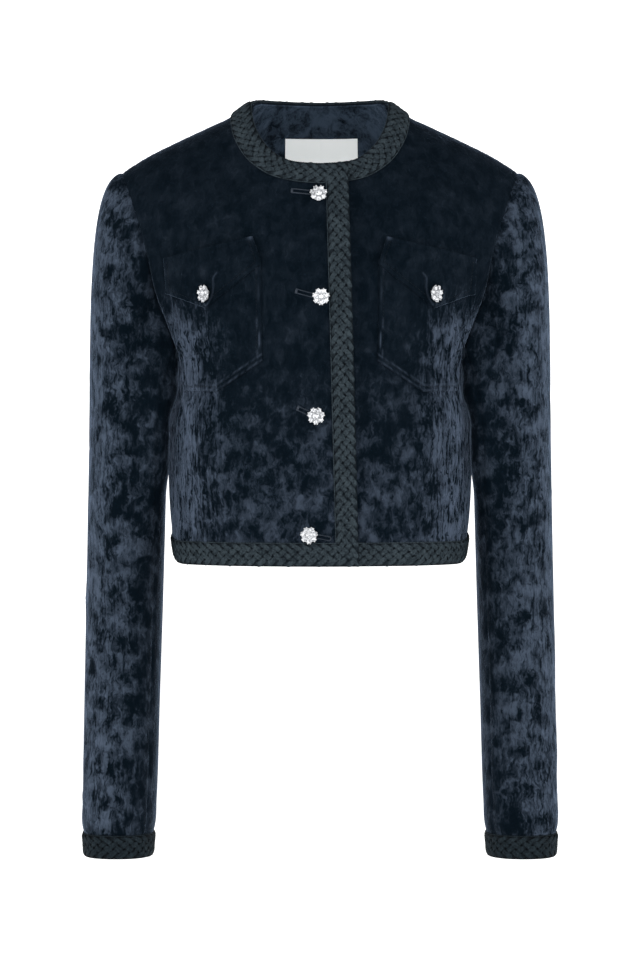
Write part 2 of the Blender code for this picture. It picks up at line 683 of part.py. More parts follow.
def button(name, centre, normal):
    """A low flower of stones on a short shank: seven lobes round a raised middle."""
    angle = np.linspace(0, 2 * np.pi, STONES * 3, endpoint=False)
    lobe = 0.90 + 0.10 * np.cos(STONES * angle)
    profile = (
        (SHANK_RADIUS, 0.0, 0),
        (SHANK_RADIUS, SHANK_LENGTH, 0),
        (BUTTON_RADIUS * 1.00, SHANK_LENGTH + 0.30 * BUTTON_HEIGHT, 1),
        (BUTTON_RADIUS * 0.84, SHANK_LENGTH + 0.80 * BUTTON_HEIGHT, 1),
        (BUTTON_RADIUS * 0.42, SHANK_LENGTH + BUTTON_HEIGHT, 0),
    )
    rings = []
    for reach, rise, waved in profile:
        radius = reach * (lobe if waved else np.ones(len(angle)))
        height = np.full(len(angle), rise)
        rings.append(np.stack([np.cos(angle) * radius, np.sin(angle) * radius, height], axis=1))
    points = np.concatenate(rings)
    count = len(angle)
    last = len(profile) - 1
    faces = [list(range(count))[::-1], list(range(last * count, (last + 1) * count))]
    for k in range(last):
        for i in range(count):
            j = (i + 1) % count
            faces.append([k * count + i, k * count + j, (k + 1) * count + j, (k + 1) * count + i])
    turn = Vector((0, 0, 1)).rotation_difference(Vector(normal)).to_matrix()
    placed = [Vector(centre) + turn @ Vector(p) for p in points]
    return solid(name, placed, faces, crystal)


for side, word, panel in ((-1, "right", front_right), (1, "left", front_left)):
    places, normal = on_front(patch(POCKET_TOP, POCKET_FOOT, 8, 7), side)
    low = laid(places, normal, tree_of(panel), REST)
    pocket = sheet("pocket_" + word, low + normal * POCKET_WALL, low, velvet)
    places, normal = on_front(patch(FLAP_TOP, FLAP_FOOT, 8, 4), side)
    low = laid(places, normal, tree_of(panel), REST + POCKET_WALL + 2 * REST)
    low = raised(low, normal, tree_of(pocket), REST)
    flap = sheet("pocket_flap_" + word, low + normal * FLAP_WALL, low, velvet)
    place, normal = on_front(np.array([[POCKET_BUTTON]]), side)
    place, met = drop(place[0], normal[0], tree_of(flap))
    button("pocket_button_" + word, (place + normal[0] * BUTTON_GAP)[0], normal[0, 0])

for number, (place_x, place_z) in enumerate(BUTTONS, 1):
    place, normal = on_front(np.array([[(-place_x, place_z)]]), -1)
    place, met = drop(place[0], normal[0], right_tree)
    button("button_%d" % number, (place + normal[0] * BUTTON_GAP)[0], normal[0, 0])

def inside_back(places, tree, gap, wall):
    """Outer and inner points of a sheet laid inside the back at widths and heights."""
    points = torso(places[..., 0], places[..., 1], 1)
    nudge = 0.0006
    u = places[..., 0]
    z = places[..., 1]
    along_u = torso(u + nudge, z, 1) - torso(u - nudge, z, 1)
    along_z = torso(u, z, 1) - torso(u, z - nudge, 1)
    inward = unit(np.cross(along_u, along_z))
    near = laid(points, inward, tree, gap)
    return near, near + inward * wall


# Facing inside the back neck, then the label on it
share = np.linspace(-1, 1, 13)
depth_share = np.linspace(0.0, 1.0, 6)
top_u = share * (NECK_POINT - 0.010)
neck_rows = np.asarray(NECK_BACK)[::-1]
top_z = np.interp(np.abs(top_u), neck_rows[:, 1], neck_rows[:, 2]) - 0.0030
foot_u = share * FACING_FOOT_HALF
foot_z = top_z - FACING_DEPTH
facing_u = top_u[None] + (foot_u - top_u)[None] * depth_share[:, None]
facing_z = top_z[None] + (foot_z - top_z)[None] * depth_share[:, None]
facing_places = np.stack([facing_u, facing_z], axis=-1)
facing_out, facing_in = inside_back(facing_places, tree_of(back), REST, FACING_WALL)
facing = sheet("back_neck_facing", facing_out, facing_in, velvet)

label_u = LABEL_SHIFT + np.linspace(-LABEL_HALF, LABEL_HALF, 9)
label_u, label_z = np.meshgrid(label_u, np.linspace(LABEL_TOP, LABEL_FOOT, 4))
label_places = np.stack([label_u, label_z], axis=-1)
label_out, label_in = inside_back(label_places, tree_of(facing), REST, LABEL_WALL)
sheet("label", label_out, label_in, ribbon)
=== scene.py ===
"""A cropped, collarless jacket of crushed velvet with plaited braid edges and stone-set buttons.

Metres. X runs to the wearer's left, the front faces -Y and Z is up. A width u is counted from the centre
towards a front's own side, and side is -1 for the wearer's right and +1 for the left.
"""

import bpy
import numpy as np
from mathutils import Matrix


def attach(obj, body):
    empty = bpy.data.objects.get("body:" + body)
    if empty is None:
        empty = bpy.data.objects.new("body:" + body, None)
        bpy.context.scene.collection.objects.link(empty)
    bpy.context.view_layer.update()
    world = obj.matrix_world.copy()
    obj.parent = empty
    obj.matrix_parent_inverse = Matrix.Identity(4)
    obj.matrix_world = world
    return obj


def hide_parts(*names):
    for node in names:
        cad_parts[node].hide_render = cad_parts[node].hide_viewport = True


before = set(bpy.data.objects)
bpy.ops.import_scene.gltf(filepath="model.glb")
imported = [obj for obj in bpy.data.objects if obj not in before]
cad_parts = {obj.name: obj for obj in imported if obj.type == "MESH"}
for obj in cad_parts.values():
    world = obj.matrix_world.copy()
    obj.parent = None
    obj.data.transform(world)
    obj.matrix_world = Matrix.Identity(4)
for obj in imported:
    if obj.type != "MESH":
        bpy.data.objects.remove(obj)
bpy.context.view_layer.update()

# Fronts
# Two panels of crushed velvet; the right one laps over the left one, which steps in under it. They are sewn
# to the back at the side and shoulder and to the sleeve at the armhole, and small creases leave the seams.
WALL = 0.0020
SEAM = 0.0003
REST = 0.0004
# Height, half width, depth in front, depth behind, squareness of each level
TORSO = np.array((
    (-0.3842, 0.1310, 0.1040, 0.0910, 2.40),
    (-0.3450, 0.1358, 0.1055, 0.0920, 2.40),
    (-0.3080, 0.1378, 0.1080, 0.0940, 2.40),
    (-0.2700, 0.1393, 0.1115, 0.0965, 2.35),
    (-0.2480, 0.1376, 0.1140, 0.0990, 2.30),
    (-0.2250, 0.1328, 0.1160, 0.1020, 2.20),
    (-0.2120, 0.1318, 0.1170, 0.1030, 2.15),
    (-0.1800, 0.1430, 0.1180, 0.1060, 2.05),
    (-0.1400, 0.1600, 0.1150, 0.1080, 2.00),
    (-0.1000, 0.1780, 0.1060, 0.1090, 2.00),
    (-0.0600, 0.1960, 0.0920, 0.1060, 2.00),
    (-0.0250, 0.2080, 0.0780, 0.1020, 2.00),
    (0.0450, 0.2300, 0.0660, 0.0900, 2.00),
))
# Width and height along the shoulder line
SHOULDER = np.array((
    (0.0000, 0.0750), (0.0300, 0.0655), (0.0500, 0.0525), (0.0645, 0.0385), (0.0815, 0.0258),
    (0.1000, 0.0170), (0.1300, 0.0030), (0.1600, -0.0120), (0.1820, -0.0255), (0.2150, -0.0450),
))
# Station, then width and height of the neck's cut edge and of its braid's lower line
NECK_FRONT = np.array((
    (0.0, 0.0000, -0.0255, 0.0000, -0.0430),
    (1.0, 0.0200, -0.0240, 0.0215, -0.0410),
    (2.0, 0.0330, -0.0205, 0.0420, -0.0360),
    (3.0, 0.0430, -0.0140, 0.0570, -0.0270),
    (4.0, 0.0515, -0.0050, 0.0685, -0.0155),
    (5.0, 0.0590, 0.0085, 0.0775, 0.0010),
    (6.0, 0.0630, 0.0230, 0.0810, 0.0150),
    (7.0, 0.0645, 0.0385, 0.0815, 0.0258),
))
# Height, width of the armhole's edge in front and behind
ARMHOLE = np.array((
    (-0.2120, 0.1318, 0.1318), (-0.2040, 0.1292, 0.1294), (-0.1900, 0.1314, 0.1318),
    (-0.1700, 0.1385, 0.1385), (-0.1400, 0.1500, 0.1505), (-0.1000, 0.1585, 0.1610),
    (-0.0600, 0.1700, 0.1735), (-0.0255, 0.1820, 0.1820),
))
HEM = -0.3842
HEM_RISE = 0.0080
UNDERARM = -0.2120
SHOULDER_ROLL = 0.110
SHOULDER_TIP = 0.1820
LAP_TOP = 0.0246
LAP_HEM = 0.0342
UNDER_LAP = 0.0200
UNDER_STEP = 0.0056
UNDER_FLAT = 0.045
UNDER_END = 0.100
FRONT_ROWS = (84, 70, 54)
FRONT_COLUMNS = 112
SIDE_PACE = 1.53
EDGE_BREAK = UNDERARM + 0.012
ARMHOLE_BREAK = 0.42
SEAM_FADE = 0.012
PUCKER = 0.00025
PUCKER_REACH = 0.006
SEAM_DIP = 0.0009
SEAM_DIP_HALF = 0.0026
SIDES = ((-1, "right"), (1, "left"))
# Degrees round from the front, height, length, width in degrees, lean, depth
BODY_FOLDS = np.array((
    (48.0, -0.300, 0.130, 7.0, 30.0, 0.0022),
    (66.0, -0.275, 0.110, 7.0, -20.0, -0.0022),
    (80.0, -0.330, 0.090, 8.0, 20.0, 0.0016),
    (60.0, -0.150, 0.070, 8.0, 60.0, -0.0020),
    (118.0, -0.310, 0.120, 9.0, -30.0, 0.0020),
    (140.0, -0.230, 0.150, 9.0, 20.0, -0.0020),
))
# Zones of short creases: how many, from width and height, to width and height, lean, spread, longest, depth
FRONT_CREASES = (
    (34, 0.100, -0.375, 0.133, -0.225, 0.0, 0.25, 0.040, 0.0008),
    (20, 0.112, -0.230, 0.136, -0.130, -0.1, 0.25, 0.035, 0.0008),
    (14, 0.120, -0.200, 0.150, -0.070, -0.5, 0.35, 0.022, 0.0007),
    (46, 0.000, -0.375, 0.110, -0.235, 0.0, 1.40, 0.016, 0.0006),
    (26, 0.010, -0.230, 0.130, -0.060, 0.0, 1.40, 0.014, 0.0003),
)


def smooth(table, column, at):
    """A cubic through a table's rows, with slopes from the neighbouring rows, read along its first column."""
    key = table[:, 0]
    value = table[:, column]
    slope = np.gradient(value, key)
    at = np.clip(np.asarray(at, float), key[0], key[-1])
    i = np.clip(np.searchsorted(key, at) - 1, 0, len(key) - 2)
    step = key[i + 1] - key[i]
    s = (at - key[i]) / step
    start = (1 + 2 * s) * (1 - s) ** 2 * value[i] + s * (1 - s) ** 2 * step * slope[i]
    end = s * s * (3 - 2 * s) * value[i + 1] + s * s * (s - 1) * step * slope[i + 1]
    return start + end


def unit(vectors):
    """Each vector divided by its length."""
    return vectors / np.maximum(np.linalg.norm(vectors, axis=-1, keepdims=True), 1e-12)


def ease(s):
    """A step from 0 to 1 that starts and ends level: 3s^2 - 2s^3."""
    s = np.clip(s, 0, 1)
    return s * s * (3 - 2 * s)


def run(points, axis=0):
    """Length run along one axis of a grid of points, from 0."""
    step = np.linalg.norm(np.diff(points, axis=axis), axis=-1)
    pad = [(0, 0)] * step.ndim
    pad[axis] = (1, 0)
    return np.pad(np.cumsum(step, axis=axis), pad)


def mirrored(points):
    """Points on the other side of the centre."""
    return points * np.array([-1.0, 1.0, 1.0])


def pace(count):
    """Shares from 0 to 1 that crowd towards 1, a sine's first rise, for columns that close up at a side."""
    return np.sin(SIDE_PACE * np.linspace(0, 1, count)) / np.sin(SIDE_PACE)


def hem_bow(share):
    """How the hem rises from the centre to a side seam: a little as a square, then in a short steep arch."""
    return 0.15 * share ** 2 + 0.85 * np.abs(share) ** 60


def torso(u, z, face, step=0.0):
    """Cloth at width u and height z, in front (-1) or behind (+1).

    Each level is a squared ellipse; near the shoulder line its depth rolls over as a quarter circle, and a
    step sets the part under the lap inwards.
    """
    u, z = np.broadcast_arrays(np.asarray(u, float), np.asarray(z, float))
    depth = smooth(TORSO, 2 if face < 0 else 3, z)
    power = smooth(TORSO, 4, z)
    girth = np.clip(1 - np.clip(np.abs(u) / smooth(TORSO, 1, z), 0, 1) ** power, 0, 1) ** (1 / power)
    below = np.clip((smooth(SHOULDER, 1, np.abs(u)) - z) / SHOULDER_ROLL, 0, 1)
    inward = step * ease((UNDER_END - u) / (UNDER_END - UNDER_FLAT))
    depth = depth * girth * np.sqrt(1 - (1 - below) ** 2) - inward
    return np.stack([u, face * (SEAM / 2 + np.maximum(depth, 0)), z], axis=-1)


def body_fold(points):
    """Lift of the broad folds: a bell along the height times a bell round the body, summed."""
    angle = np.degrees(np.arctan2(np.abs(points[..., 0]), -points[..., 1]))[..., None]
    middle, height, length, width, lean, depth = BODY_FOLDS.T
    rise = points[..., 2, None] - height
    across = (angle - middle - lean * rise * 3) / width
    return np.sum(depth * np.exp(-2 * (rise / length) ** 2 - across ** 2), axis=-1)


def crease_lines(zones, seed):
    """Random short creases in each zone: width, height, lean, half length, half breadth, depth."""
    draw = np.random.default_rng(seed)
    rows = []
    for count, u0, z0, u1, z1, lean, spread, longest, depth in zones:
        a = draw.uniform(size=(count, 6))
        rows.append(np.stack([
            u0 + (u1 - u0) * a[:, 0], z0 + (z1 - z0) * a[:, 1], lean + spread * (2 * a[:, 2] - 1),
            longest * (0.35 + 0.65 * a[:, 3]), 0.0012 + 0.0016 * a[:, 4],
            depth * np.where(a[:, 5] > 0.42, 1, -1) * (0.4 + 0.6 * np.abs(2 * a[:, 5] - 1)),
        ], axis=1))
    return np.concatenate(rows)


def crease_lift(u, z, lines):
    """Sum of ridges, each a bell along its own line times a narrow bell across it."""
    du = u[..., None] - lines[:, 0]
    dz = z[..., None] - lines[:, 1]
    along = (du * np.sin(lines[:, 2]) + dz * np.cos(lines[:, 2])) / lines[:, 3]
    across = (du * np.cos(lines[:, 2]) - dz * np.sin(lines[:, 2])) / lines[:, 4]
    return np.sum(lines[:, 5] * np.exp(-along ** 2 - across ** 2), axis=-1)


def armhole_at(face, share):
    """Width and height of the armhole's edge at a share of its length from the underarm."""
    height = (1 - np.cos(np.linspace(0, np.pi, 300))) / 2
    z = UNDERARM + (smooth(SHOULDER, 1, SHOULDER_TIP) - UNDERARM) * height
    u = smooth(ARMHOLE, 1 if face < 0 else 2, z)
    length = run(torso(u, z, face))
    return np.interp(share, length / length[-1], u), np.interp(share, length / length[-1], z)


def neck_front(station, line):
    """Width and height on the front neckline's cut edge (line 0) or its braid's lower line (1)."""
    u = np.sign(station) * smooth(NECK_FRONT, 1 + 2 * line, np.abs(station))
    return u, smooth(NECK_FRONT, 2 + 2 * line, np.abs(station))


def neck_station(lap):
    """The station, past the centre, at which the front neckline meets a front edge."""
    stations = np.linspace(-4, 0, 400)
    return float(np.interp(-lap, neck_front(stations, 0)[0], stations))


def front_grid(lap_top, lap_hem, step):
    """A front from hem to shoulder seam: rows run from its front edge to side, armhole or shoulder tip."""
    corner = neck_station(lap_top)
    corner_z = float(neck_front(corner, 0)[1])
    edge_u, edge_z = neck_front(np.linspace(corner, 7, 300), 0)
    edge = run(torso(edge_u, edge_z, -1))
    v = np.concatenate([np.linspace(k, k + 1, FRONT_ROWS[k])[min(k, 1):] for k in range(3)])[:, None]
    low, mid, top = (np.clip(v - k, 0, 1) for k in range(3))
    left_z = HEM + (EDGE_BREAK - HEM) * low + (corner_z - EDGE_BREAK) * mid
    left_u = -(lap_hem + (lap_top - lap_hem) * (left_z - HEM) / (corner_z - HEM))
    left_u = np.where(v > 2, np.interp(top, edge / edge[-1], edge_u), left_u)
    left_z = np.where(v > 2, np.interp(top, edge / edge[-1], edge_z), left_z)
    side_z = HEM + HEM_RISE + (UNDERARM - HEM - HEM_RISE) * low
    arm_u, arm_z = armhole_at(-1, ARMHOLE_BREAK * mid + (1 - ARMHOLE_BREAK) * top)
    right_u = np.where(v > 1, arm_u, smooth(TORSO, 1, side_z))
    right_z = np.where(v > 1, arm_z, side_z)
    share = pace(FRONT_COLUMNS)[None]
    u = left_u + (right_u - left_u) * share
    line = smooth(SHOULDER, 1, np.abs(u))
    bend = line - (line[:, :1] + (line[:, -1:] - line[:, :1]) * share)
    bow = hem_bow(u / right_u)
    bow = bow + (share - bow) * ease(mid)
    return torso(u, left_z + (right_z - left_z) * bow + top * bend, -1, step)


def grid_normal(points, towards):
    """Directions out of a grid, the cross product of its two lines, turned towards a rough direction."""
    normal = unit(np.cross(np.gradient(points, axis=1), np.gradient(points, axis=0)))
    return normal * np.where(np.sum(normal * towards) < 0, -1, 1)


def seam_dip(away, along):
    """The dip and the small puckers beside a sewn seam, by the distance from it and the length along it."""
    pucker = np.sin(along / 0.0011) * np.sin(along / 0.0029 + 1) * np.exp(-away / PUCKER_REACH)
    return PUCKER * pucker - SEAM_DIP * np.exp(-(away / SEAM_DIP_HALF) ** 2)


def quads_over(index):
    """Four corners for each cell of a grid of point numbers."""
    return np.stack([index[:-1, :-1], index[:-1, 1:], index[1:, 1:], index[1:, :-1]], axis=-1).reshape(-1, 4)


def wall(outer, inner, ring=False):
    """Quads over an outer grid, the inner one behind it and the rim between; ring joins the last column."""
    rows, columns = outer.shape[:2]
    count = rows * columns
    index = np.arange(count).reshape(rows, columns)
    if ring:
        index = np.concatenate([index, index[:, :1]], axis=1)
    over = quads_over(index)
    lines = [index[0, ::-1], index[-1]]
    if not ring:
        lines += [index[:, 0], index[::-1, -1]]
    rim = np.concatenate([np.stack([k[:-1], k[1:], k[1:] + count, k[:-1] + count], axis=-1) for k in lines])
    points = np.concatenate([outer.reshape(-1, 3), inner.reshape(-1, 3)])
    a, b, c, d = (points[over[:, k]] for k in range(4))
    if np.sum(np.cross(c - a, d - b) * (a - points[over[:, 0] + count])) < 0:
        over = over[:, ::-1]
        rim = rim[:, ::-1]
    return points, over, over[:, ::-1] + count, rim


def piece(name, parts, materials, flat=False, sharp=0.9):
    """One object on the jacket's body, from parts of points and groups of (faces of one size, material)."""
    points, corners, sizes, slots = [], [], [], []
    base = 0
    for place, groups in parts:
        points.append(place.reshape(-1, 3))
        for faces, number in groups:
            corners.append((faces + base).ravel())
            sizes.append(np.full(len(faces), faces.shape[1]))
            slots.append(np.full(len(faces), number))
        base += len(points[-1])
    points, corners, sizes, slots = (np.concatenate(k) for k in (points, corners, sizes, slots))
    mesh = bpy.data.meshes.new(name)
    mesh.vertices.add(len(points))
    mesh.vertices.foreach_set("co", points.astype(np.float32).ravel())
    mesh.loops.add(len(corners))
    mesh.loops.foreach_set("vertex_index", corners.astype(np.int32))
    mesh.polygons.add(len(sizes))
    mesh.polygons.foreach_set("loop_start", (np.cumsum(sizes) - sizes).astype(np.int32))
    mesh.polygons.foreach_set("material_index", slots.astype(np.int32))
    mesh.polygons.foreach_set("use_smooth", np.full(len(sizes), not flat))
    mesh.update(calc_edges=True)
    mesh.validate()
    if not flat:
        mesh.set_sharp_from_angle(angle=sharp)
    for material in materials:
        mesh.materials.append(material)
    made = bpy.data.objects.new(name, mesh)
    bpy.context.scene.collection.objects.link(made)
    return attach(made, "root")


class Socket:
    """An output of a node. Operators on values add Math nodes, and add() puts in any other node."""

    def __init__(self, tree, output=None):
        self.tree = tree
        self.output = output

    def add(self, kind, settings=(), inputs=(), out=0):
        """A node of a kind: its settings first, then the values or links of its sockets; one output of it."""
        node = self.tree.nodes.new("ShaderNode" + kind)
        for key, value in dict(settings).items():
            setattr(node, key, value)
        for key, value in dict(inputs).items():
            if isinstance(value, Socket):
                self.tree.links.new(value.output, node.inputs[key])
            else:
                node.inputs[key].default_value = value
        return Socket(self.tree, node.outputs[out] if node.outputs else None)

    def math(self, operation, first, second=0.0):
        """One Math node."""
        return self.add("Math", {"operation": operation}, {0: first, 1: second})

    def __add__(self, other):
        return self.math("ADD", self, other)

    def __radd__(self, other):
        return self.math("ADD", other, self)

    def __sub__(self, other):
        return self.math("SUBTRACT", self, other)

    def __rsub__(self, other):
        return self.math("SUBTRACT", other, self)

    def __mul__(self, other):
        return self.math("MULTIPLY", self, other)

    def __rmul__(self, other):
        return self.math("MULTIPLY", other, self)

    def step(self, low, high):
        """A smooth step of this value from 0 at low to 1 at high."""
        limits = {"Value": self, "From Min": low, "From Max": high}
        return self.add("MapRange", {"interpolation_type": "SMOOTHSTEP"}, limits)

    def place(self):
        """The place on the piece, in Object coordinates."""
        return self.add("TexCoord", out="Object")

    def noise(self, at, scale, detail, roughness, distortion=0.0, out=0):
        """Cloudy noise from 0 to 1 at a place."""
        sockets = {"Vector": at, "Scale": scale, "Detail": detail, "Roughness": roughness}
        return self.add("TexNoise", (), {**sockets, "Distortion": distortion}, out)

    def ribs(self, direction, scale, distortion):
        """Waves from 0 to 1 across a direction of the piece."""
        sockets = {"Vector": self.place(), "Scale": scale, "Distortion": distortion}
        return self.add("TexWave", {"bands_direction": direction}, sockets)

    def bump(self, strength, distance, height):
        """A Bump node over a height."""
        return self.add("Bump", (), {"Strength": strength, "Distance": distance, "Height": height})

    def mix(self, share, first, second):
        """A colour between two others."""
        colours = [value if isinstance(value, Socket) else (*value, 1.0) for value in (first, second)]
        return self.add("Mix", {"data_type": "RGBA"}, {0: share, 6: colours[0], 7: colours[1]}, out=2)


def finish(name, colour, roughness, bump=None, **constants):
    """A material: functions of a blank Socket give its colour, roughness and bump; the rest is constant."""
    made = bpy.data.materials.new(name)
    made.use_nodes = True
    blank = Socket(made.node_tree)
    surface = made.node_tree.nodes["Principled BSDF"]
    for key, value in constants.items():
        surface.inputs[key.replace("_", " ")].default_value = value
    for key, maker in (("Base Color", colour), ("Roughness", roughness), ("Normal", bump)):
        if maker is not None:
            made.node_tree.links.new(maker(blank).output, surface.inputs[key])
    return made


def uneven(base, spread, scale, detail, rough=0.5):
    """Makes a roughness: a base plus a spread times cloudy noise."""
    def roughness(blank):
        return base + spread * blank.noise(blank.place(), scale, detail, rough)
    return roughness


def velvet_parts(blank, lower, sides, rise, crush_and_painted_light_shares, cracks):
    """Where the pile is crushed: how much by place, and the pattern of patches and strands itself.

    The share of crushed pile grows between a pair of heights and outside a pair of widths, the latter below
    a rise; this growth by place is painted sheen at the sides and lower down, and on the sleeves, where the
    share falls towards the cuffs, painted shade. Patches are noise of three sizes, the smaller ones drawn out
    along the height, at places that are themselves pushed about by noise. Cracks are the middle values of a
    noise drawn out still more. The three amounts are the shares crushed everywhere, the pile's own, and
    between the heights and outside the widths, painted sheen and shade.
    """
    at = blank.place()
    x = blank.add("SeparateXYZ", (), {0: at}, 0)
    z = blank.add("SeparateXYZ", (), {0: at}, 2)
    # Painted sheen and shade: more or fewer light patches set by height and width alone.
    down = z.step(lower[0], lower[1])
    out = blank.math("ABSOLUTE", x).step(sides[0], sides[1]) * z.step(rise[0], rise[1])
    crush_and_painted_light = crush_and_painted_light_shares[0] + (1 - crush_and_painted_light_shares[0]) * (1 - (1 - crush_and_painted_light_shares[1] * down) * (1 - crush_and_painted_light_shares[2] * out))
    push = blank.noise(at, 95.0, 2.0, 0.6, out="Color")
    moved, drawn = (blank.add("VectorMath", {"operation": "MULTIPLY_ADD"}, {0: push, 1: by, 2: at})
                    for by in ((0.011, 0.011, 0.014), (0.006, 0.006, 0.0)))
    slim, tall, drawn = (blank.add("VectorMath", {"operation": "MULTIPLY"}, {0: way, 1: (1.0, 1.0, squash)})
                         for way, squash in ((moved, 0.58), (moved, 0.22), (drawn, 0.11)))
    large = blank.noise(moved, 58.0, 1.0, 0.50)
    middle = blank.noise(slim, 145.0, 3.0, 0.60, 0.5)
    fine = blank.noise(tall, 560.0, 2.0, 0.60, 0.8)
    strand = blank.noise(drawn, 240.0, 1.5, 0.50)
    crack = 1 - blank.math("ABSOLUTE", strand - 0.5).step(0.005, 0.085)
    pattern = large * 0.36 + middle * 0.42 + fine * 0.22 - crack * (0.015 + cracks * out)
    return crush_and_painted_light, pattern


def crushed_velvet(name, lower, sides, rise, crush_and_painted_light_shares, cracks, light):
    """Dark navy pile with lighter patches, of a given light colour, where it is pressed over.

    The more of it is crushed, the sooner and the softer the dark turns light; where the share is raised by
    place, the light is painted sheen, and where it falls towards the cuffs, painted shade. A pressed
    attribute on the mesh adds the light lines along edges and pinches.
    """
    def colour(blank):
        crush_and_painted_light, pattern = velvet_parts(blank, lower, sides, rise, crush_and_painted_light_shares, cracks)
        ground = blank.mix(pattern.step(0.38, 0.58), (0.0008, 0.0023, 0.0041), (0.0024, 0.0046, 0.0075))
        # Painted sheen and shade: the higher the share by place, the more of the pattern is painted light.
        edge = 0.555 - 0.260 * crush_and_painted_light
        share = pattern.step(edge, edge + 0.22 + 0.09 * crush_and_painted_light) * (0.10 + 0.90 * crush_and_painted_light)
        pressed = blank.add("Attribute", {"attribute_name": "pressed"}, out="Fac")
        return blank.mix(share + (1 - share) * pressed, ground, light)

    def roughness(blank):
        crush_and_painted_light, pattern = velvet_parts(blank, lower, sides, rise, crush_and_painted_light_shares, cracks)
        return 0.95 - 0.25 * pattern.step(0.45, 0.65)

    def bump(blank):
        crush_and_painted_light, pattern = velvet_parts(blank, lower, sides, rise, crush_and_painted_light_shares, cracks)
        return blank.bump(0.7, 0.0022, pattern)

    return finish(name, colour, roughness, bump, Specular_IOR_Level=0.02, Sheen_Weight=0.30,
                  Sheen_Roughness=0.24, Sheen_Tint=(0.34, 0.46, 0.66, 1.0))


def backing_colour(blank):
    """The woven back of the velvet: fine crossed ribs in dull navy."""
    return blank.mix(blank.ribs("DIAGONAL", 420.0, 1.5), (0.0050, 0.0078, 0.0120), (0.0095, 0.0140, 0.0205))


# Light patches more often outside the chest and lower down: painted sheen where the front turns away.
velvet_front = crushed_velvet("velvet_front", (-0.14, -0.33), (0.070, 0.124), (-0.120, -0.185),
                              (0.05, 0.44, 0.85), 0.13, (0.0380, 0.0505, 0.0730))
velvet_backing = finish("velvet_backing", backing_colour, uneven(0.92, -0.10, 120.0, 2.0),
                        Specular_IOR_Level=0.05)
front_creases = {-1: crease_lines(FRONT_CREASES, 11), 1: crease_lines(FRONT_CREASES, 12)}


def stand_for(made, node):
    """Hides the solid that a finished piece stands in for, and gives the piece back."""
    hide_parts(node)
    return made


def cloth_panel(name, outer, inner, velvet):
    """A panel of cloth between two grids: velvet outside and on the rim, the woven back inside."""
    points, over, under, rim = wall(outer, inner)
    made = piece(name + "_cloth", [(points, [(over, 0), (rim, 0), (under, 1)])], [velvet, velvet_backing])
    return stand_for(made, name)


def lifted_panel(name, points, normal, lift, velvet, side=1):
    """A panel whose outer face is a grid moved out by a lift, with its wall inwards; side -1 mirrors it."""
    outer = points + normal * lift[..., None]
    inner = outer - normal * WALL
    if side < 0:
        outer, inner = mirrored(outer), mirrored(inner)
    return cloth_panel(name, outer, inner, velvet)


fronts = {}
for side, word, lap_top, lap_hem, step in ((-1, "right", LAP_TOP, LAP_HEM, 0.0),
                                           (1, "left", UNDER_LAP, UNDER_LAP, UNDER_STEP)):
    points = front_grid(lap_top, lap_hem, step)
    normal = grid_normal(points, np.array([0.0, -1.0, 0.0]))
    normal[:FRONT_ROWS[0], -1, 1] = 0
    normal[-1, :, 1] = 0
    normal = unit(normal)
    across = run(points, 1)
    up = run(points, 0)
    lift = body_fold(points) + crease_lift(points[..., 0], points[..., 2], front_creases[side])
    lift = lift * ease((across[:, -1:] - across) / SEAM_FADE)
    lift = lift + seam_dip(across[:, -1:] - across, up) + seam_dip(up[-1:] - up, across)
    fronts[side] = lifted_panel("front_" + word, points, normal, lift, velvet_front, side)

# Back
# One panel of the same velvet, from the hem to the shoulder seams, with the back neckline cut in its top.
# It is sewn to both fronts and both sleeves, and a little creased at the waist.
NECK_POINT = 0.0645
BACK_ROWS = (76, 92)
BACK_FLANK = 60
BACK_MIDDLE = 54
# Station, then width and height of the back neck's cut edge and of its braid's lower line
NECK_BACK = np.array((
    (0.0, 0.0645, 0.0385, 0.0815, 0.0258),
    (1.0, 0.0560, 0.0425, 0.0690, 0.0270),
    (2.0, 0.0400, 0.0438, 0.0490, 0.0282),
    (3.0, 0.0200, 0.0440, 0.0245, 0.0286),
    (4.0, 0.0000, 0.0440, 0.0000, 0.0288),
))
BACK_CREASES = (
    (40, 0.070, -0.375, 0.131, -0.200, 0.0, 0.35, 0.040, 0.0007),
    (40, 0.070, -0.375, 0.131, -0.200, 0.0, 0.35, 0.040, 0.0007),
    (60, -0.100, -0.370, 0.100, -0.080, 0.0, 1.40, 0.018, 0.0005),
)


def back_top(u):
    """The back's upper edge: neckline inside the neck points, shoulder seams outside."""
    neck = np.interp(np.abs(u), NECK_BACK[::-1, 1], NECK_BACK[::-1, 2])
    return np.where(np.abs(u) >= NECK_POINT, smooth(SHOULDER, 1, np.abs(u)), neck)


def back_grid():
    """Rows of the back from the hem to the shoulder seams; columns change pace at the neck points."""
    low = np.linspace(0, 1, BACK_ROWS[0])[:, None]
    top = np.linspace(0, 1, BACK_ROWS[1])[1:, None]
    side_z = HEM + HEM_RISE + (UNDERARM - HEM - HEM_RISE) * low
    arm_u, arm_z = armhole_at(1, top)
    half = np.concatenate([smooth(TORSO, 1, side_z), arm_u])
    z = np.concatenate([side_z, arm_z])
    drop = np.concatenate([low - 1, np.zeros_like(top)])
    follow = np.concatenate([np.zeros_like(low), ease(top)])
    flank = NECK_POINT + (half - NECK_POINT) * pace(BACK_FLANK)[None]
    middle = np.linspace(-NECK_POINT, NECK_POINT, BACK_MIDDLE)[None, 1:-1] + 0 * z
    u = np.concatenate([-flank[:, ::-1], middle, flank], axis=1)
    rise = HEM_RISE * (1 - hem_bow(u / half)) * drop + follow * (back_top(u) - back_top(SHOULDER_TIP))
    return torso(u, z + rise, 1)
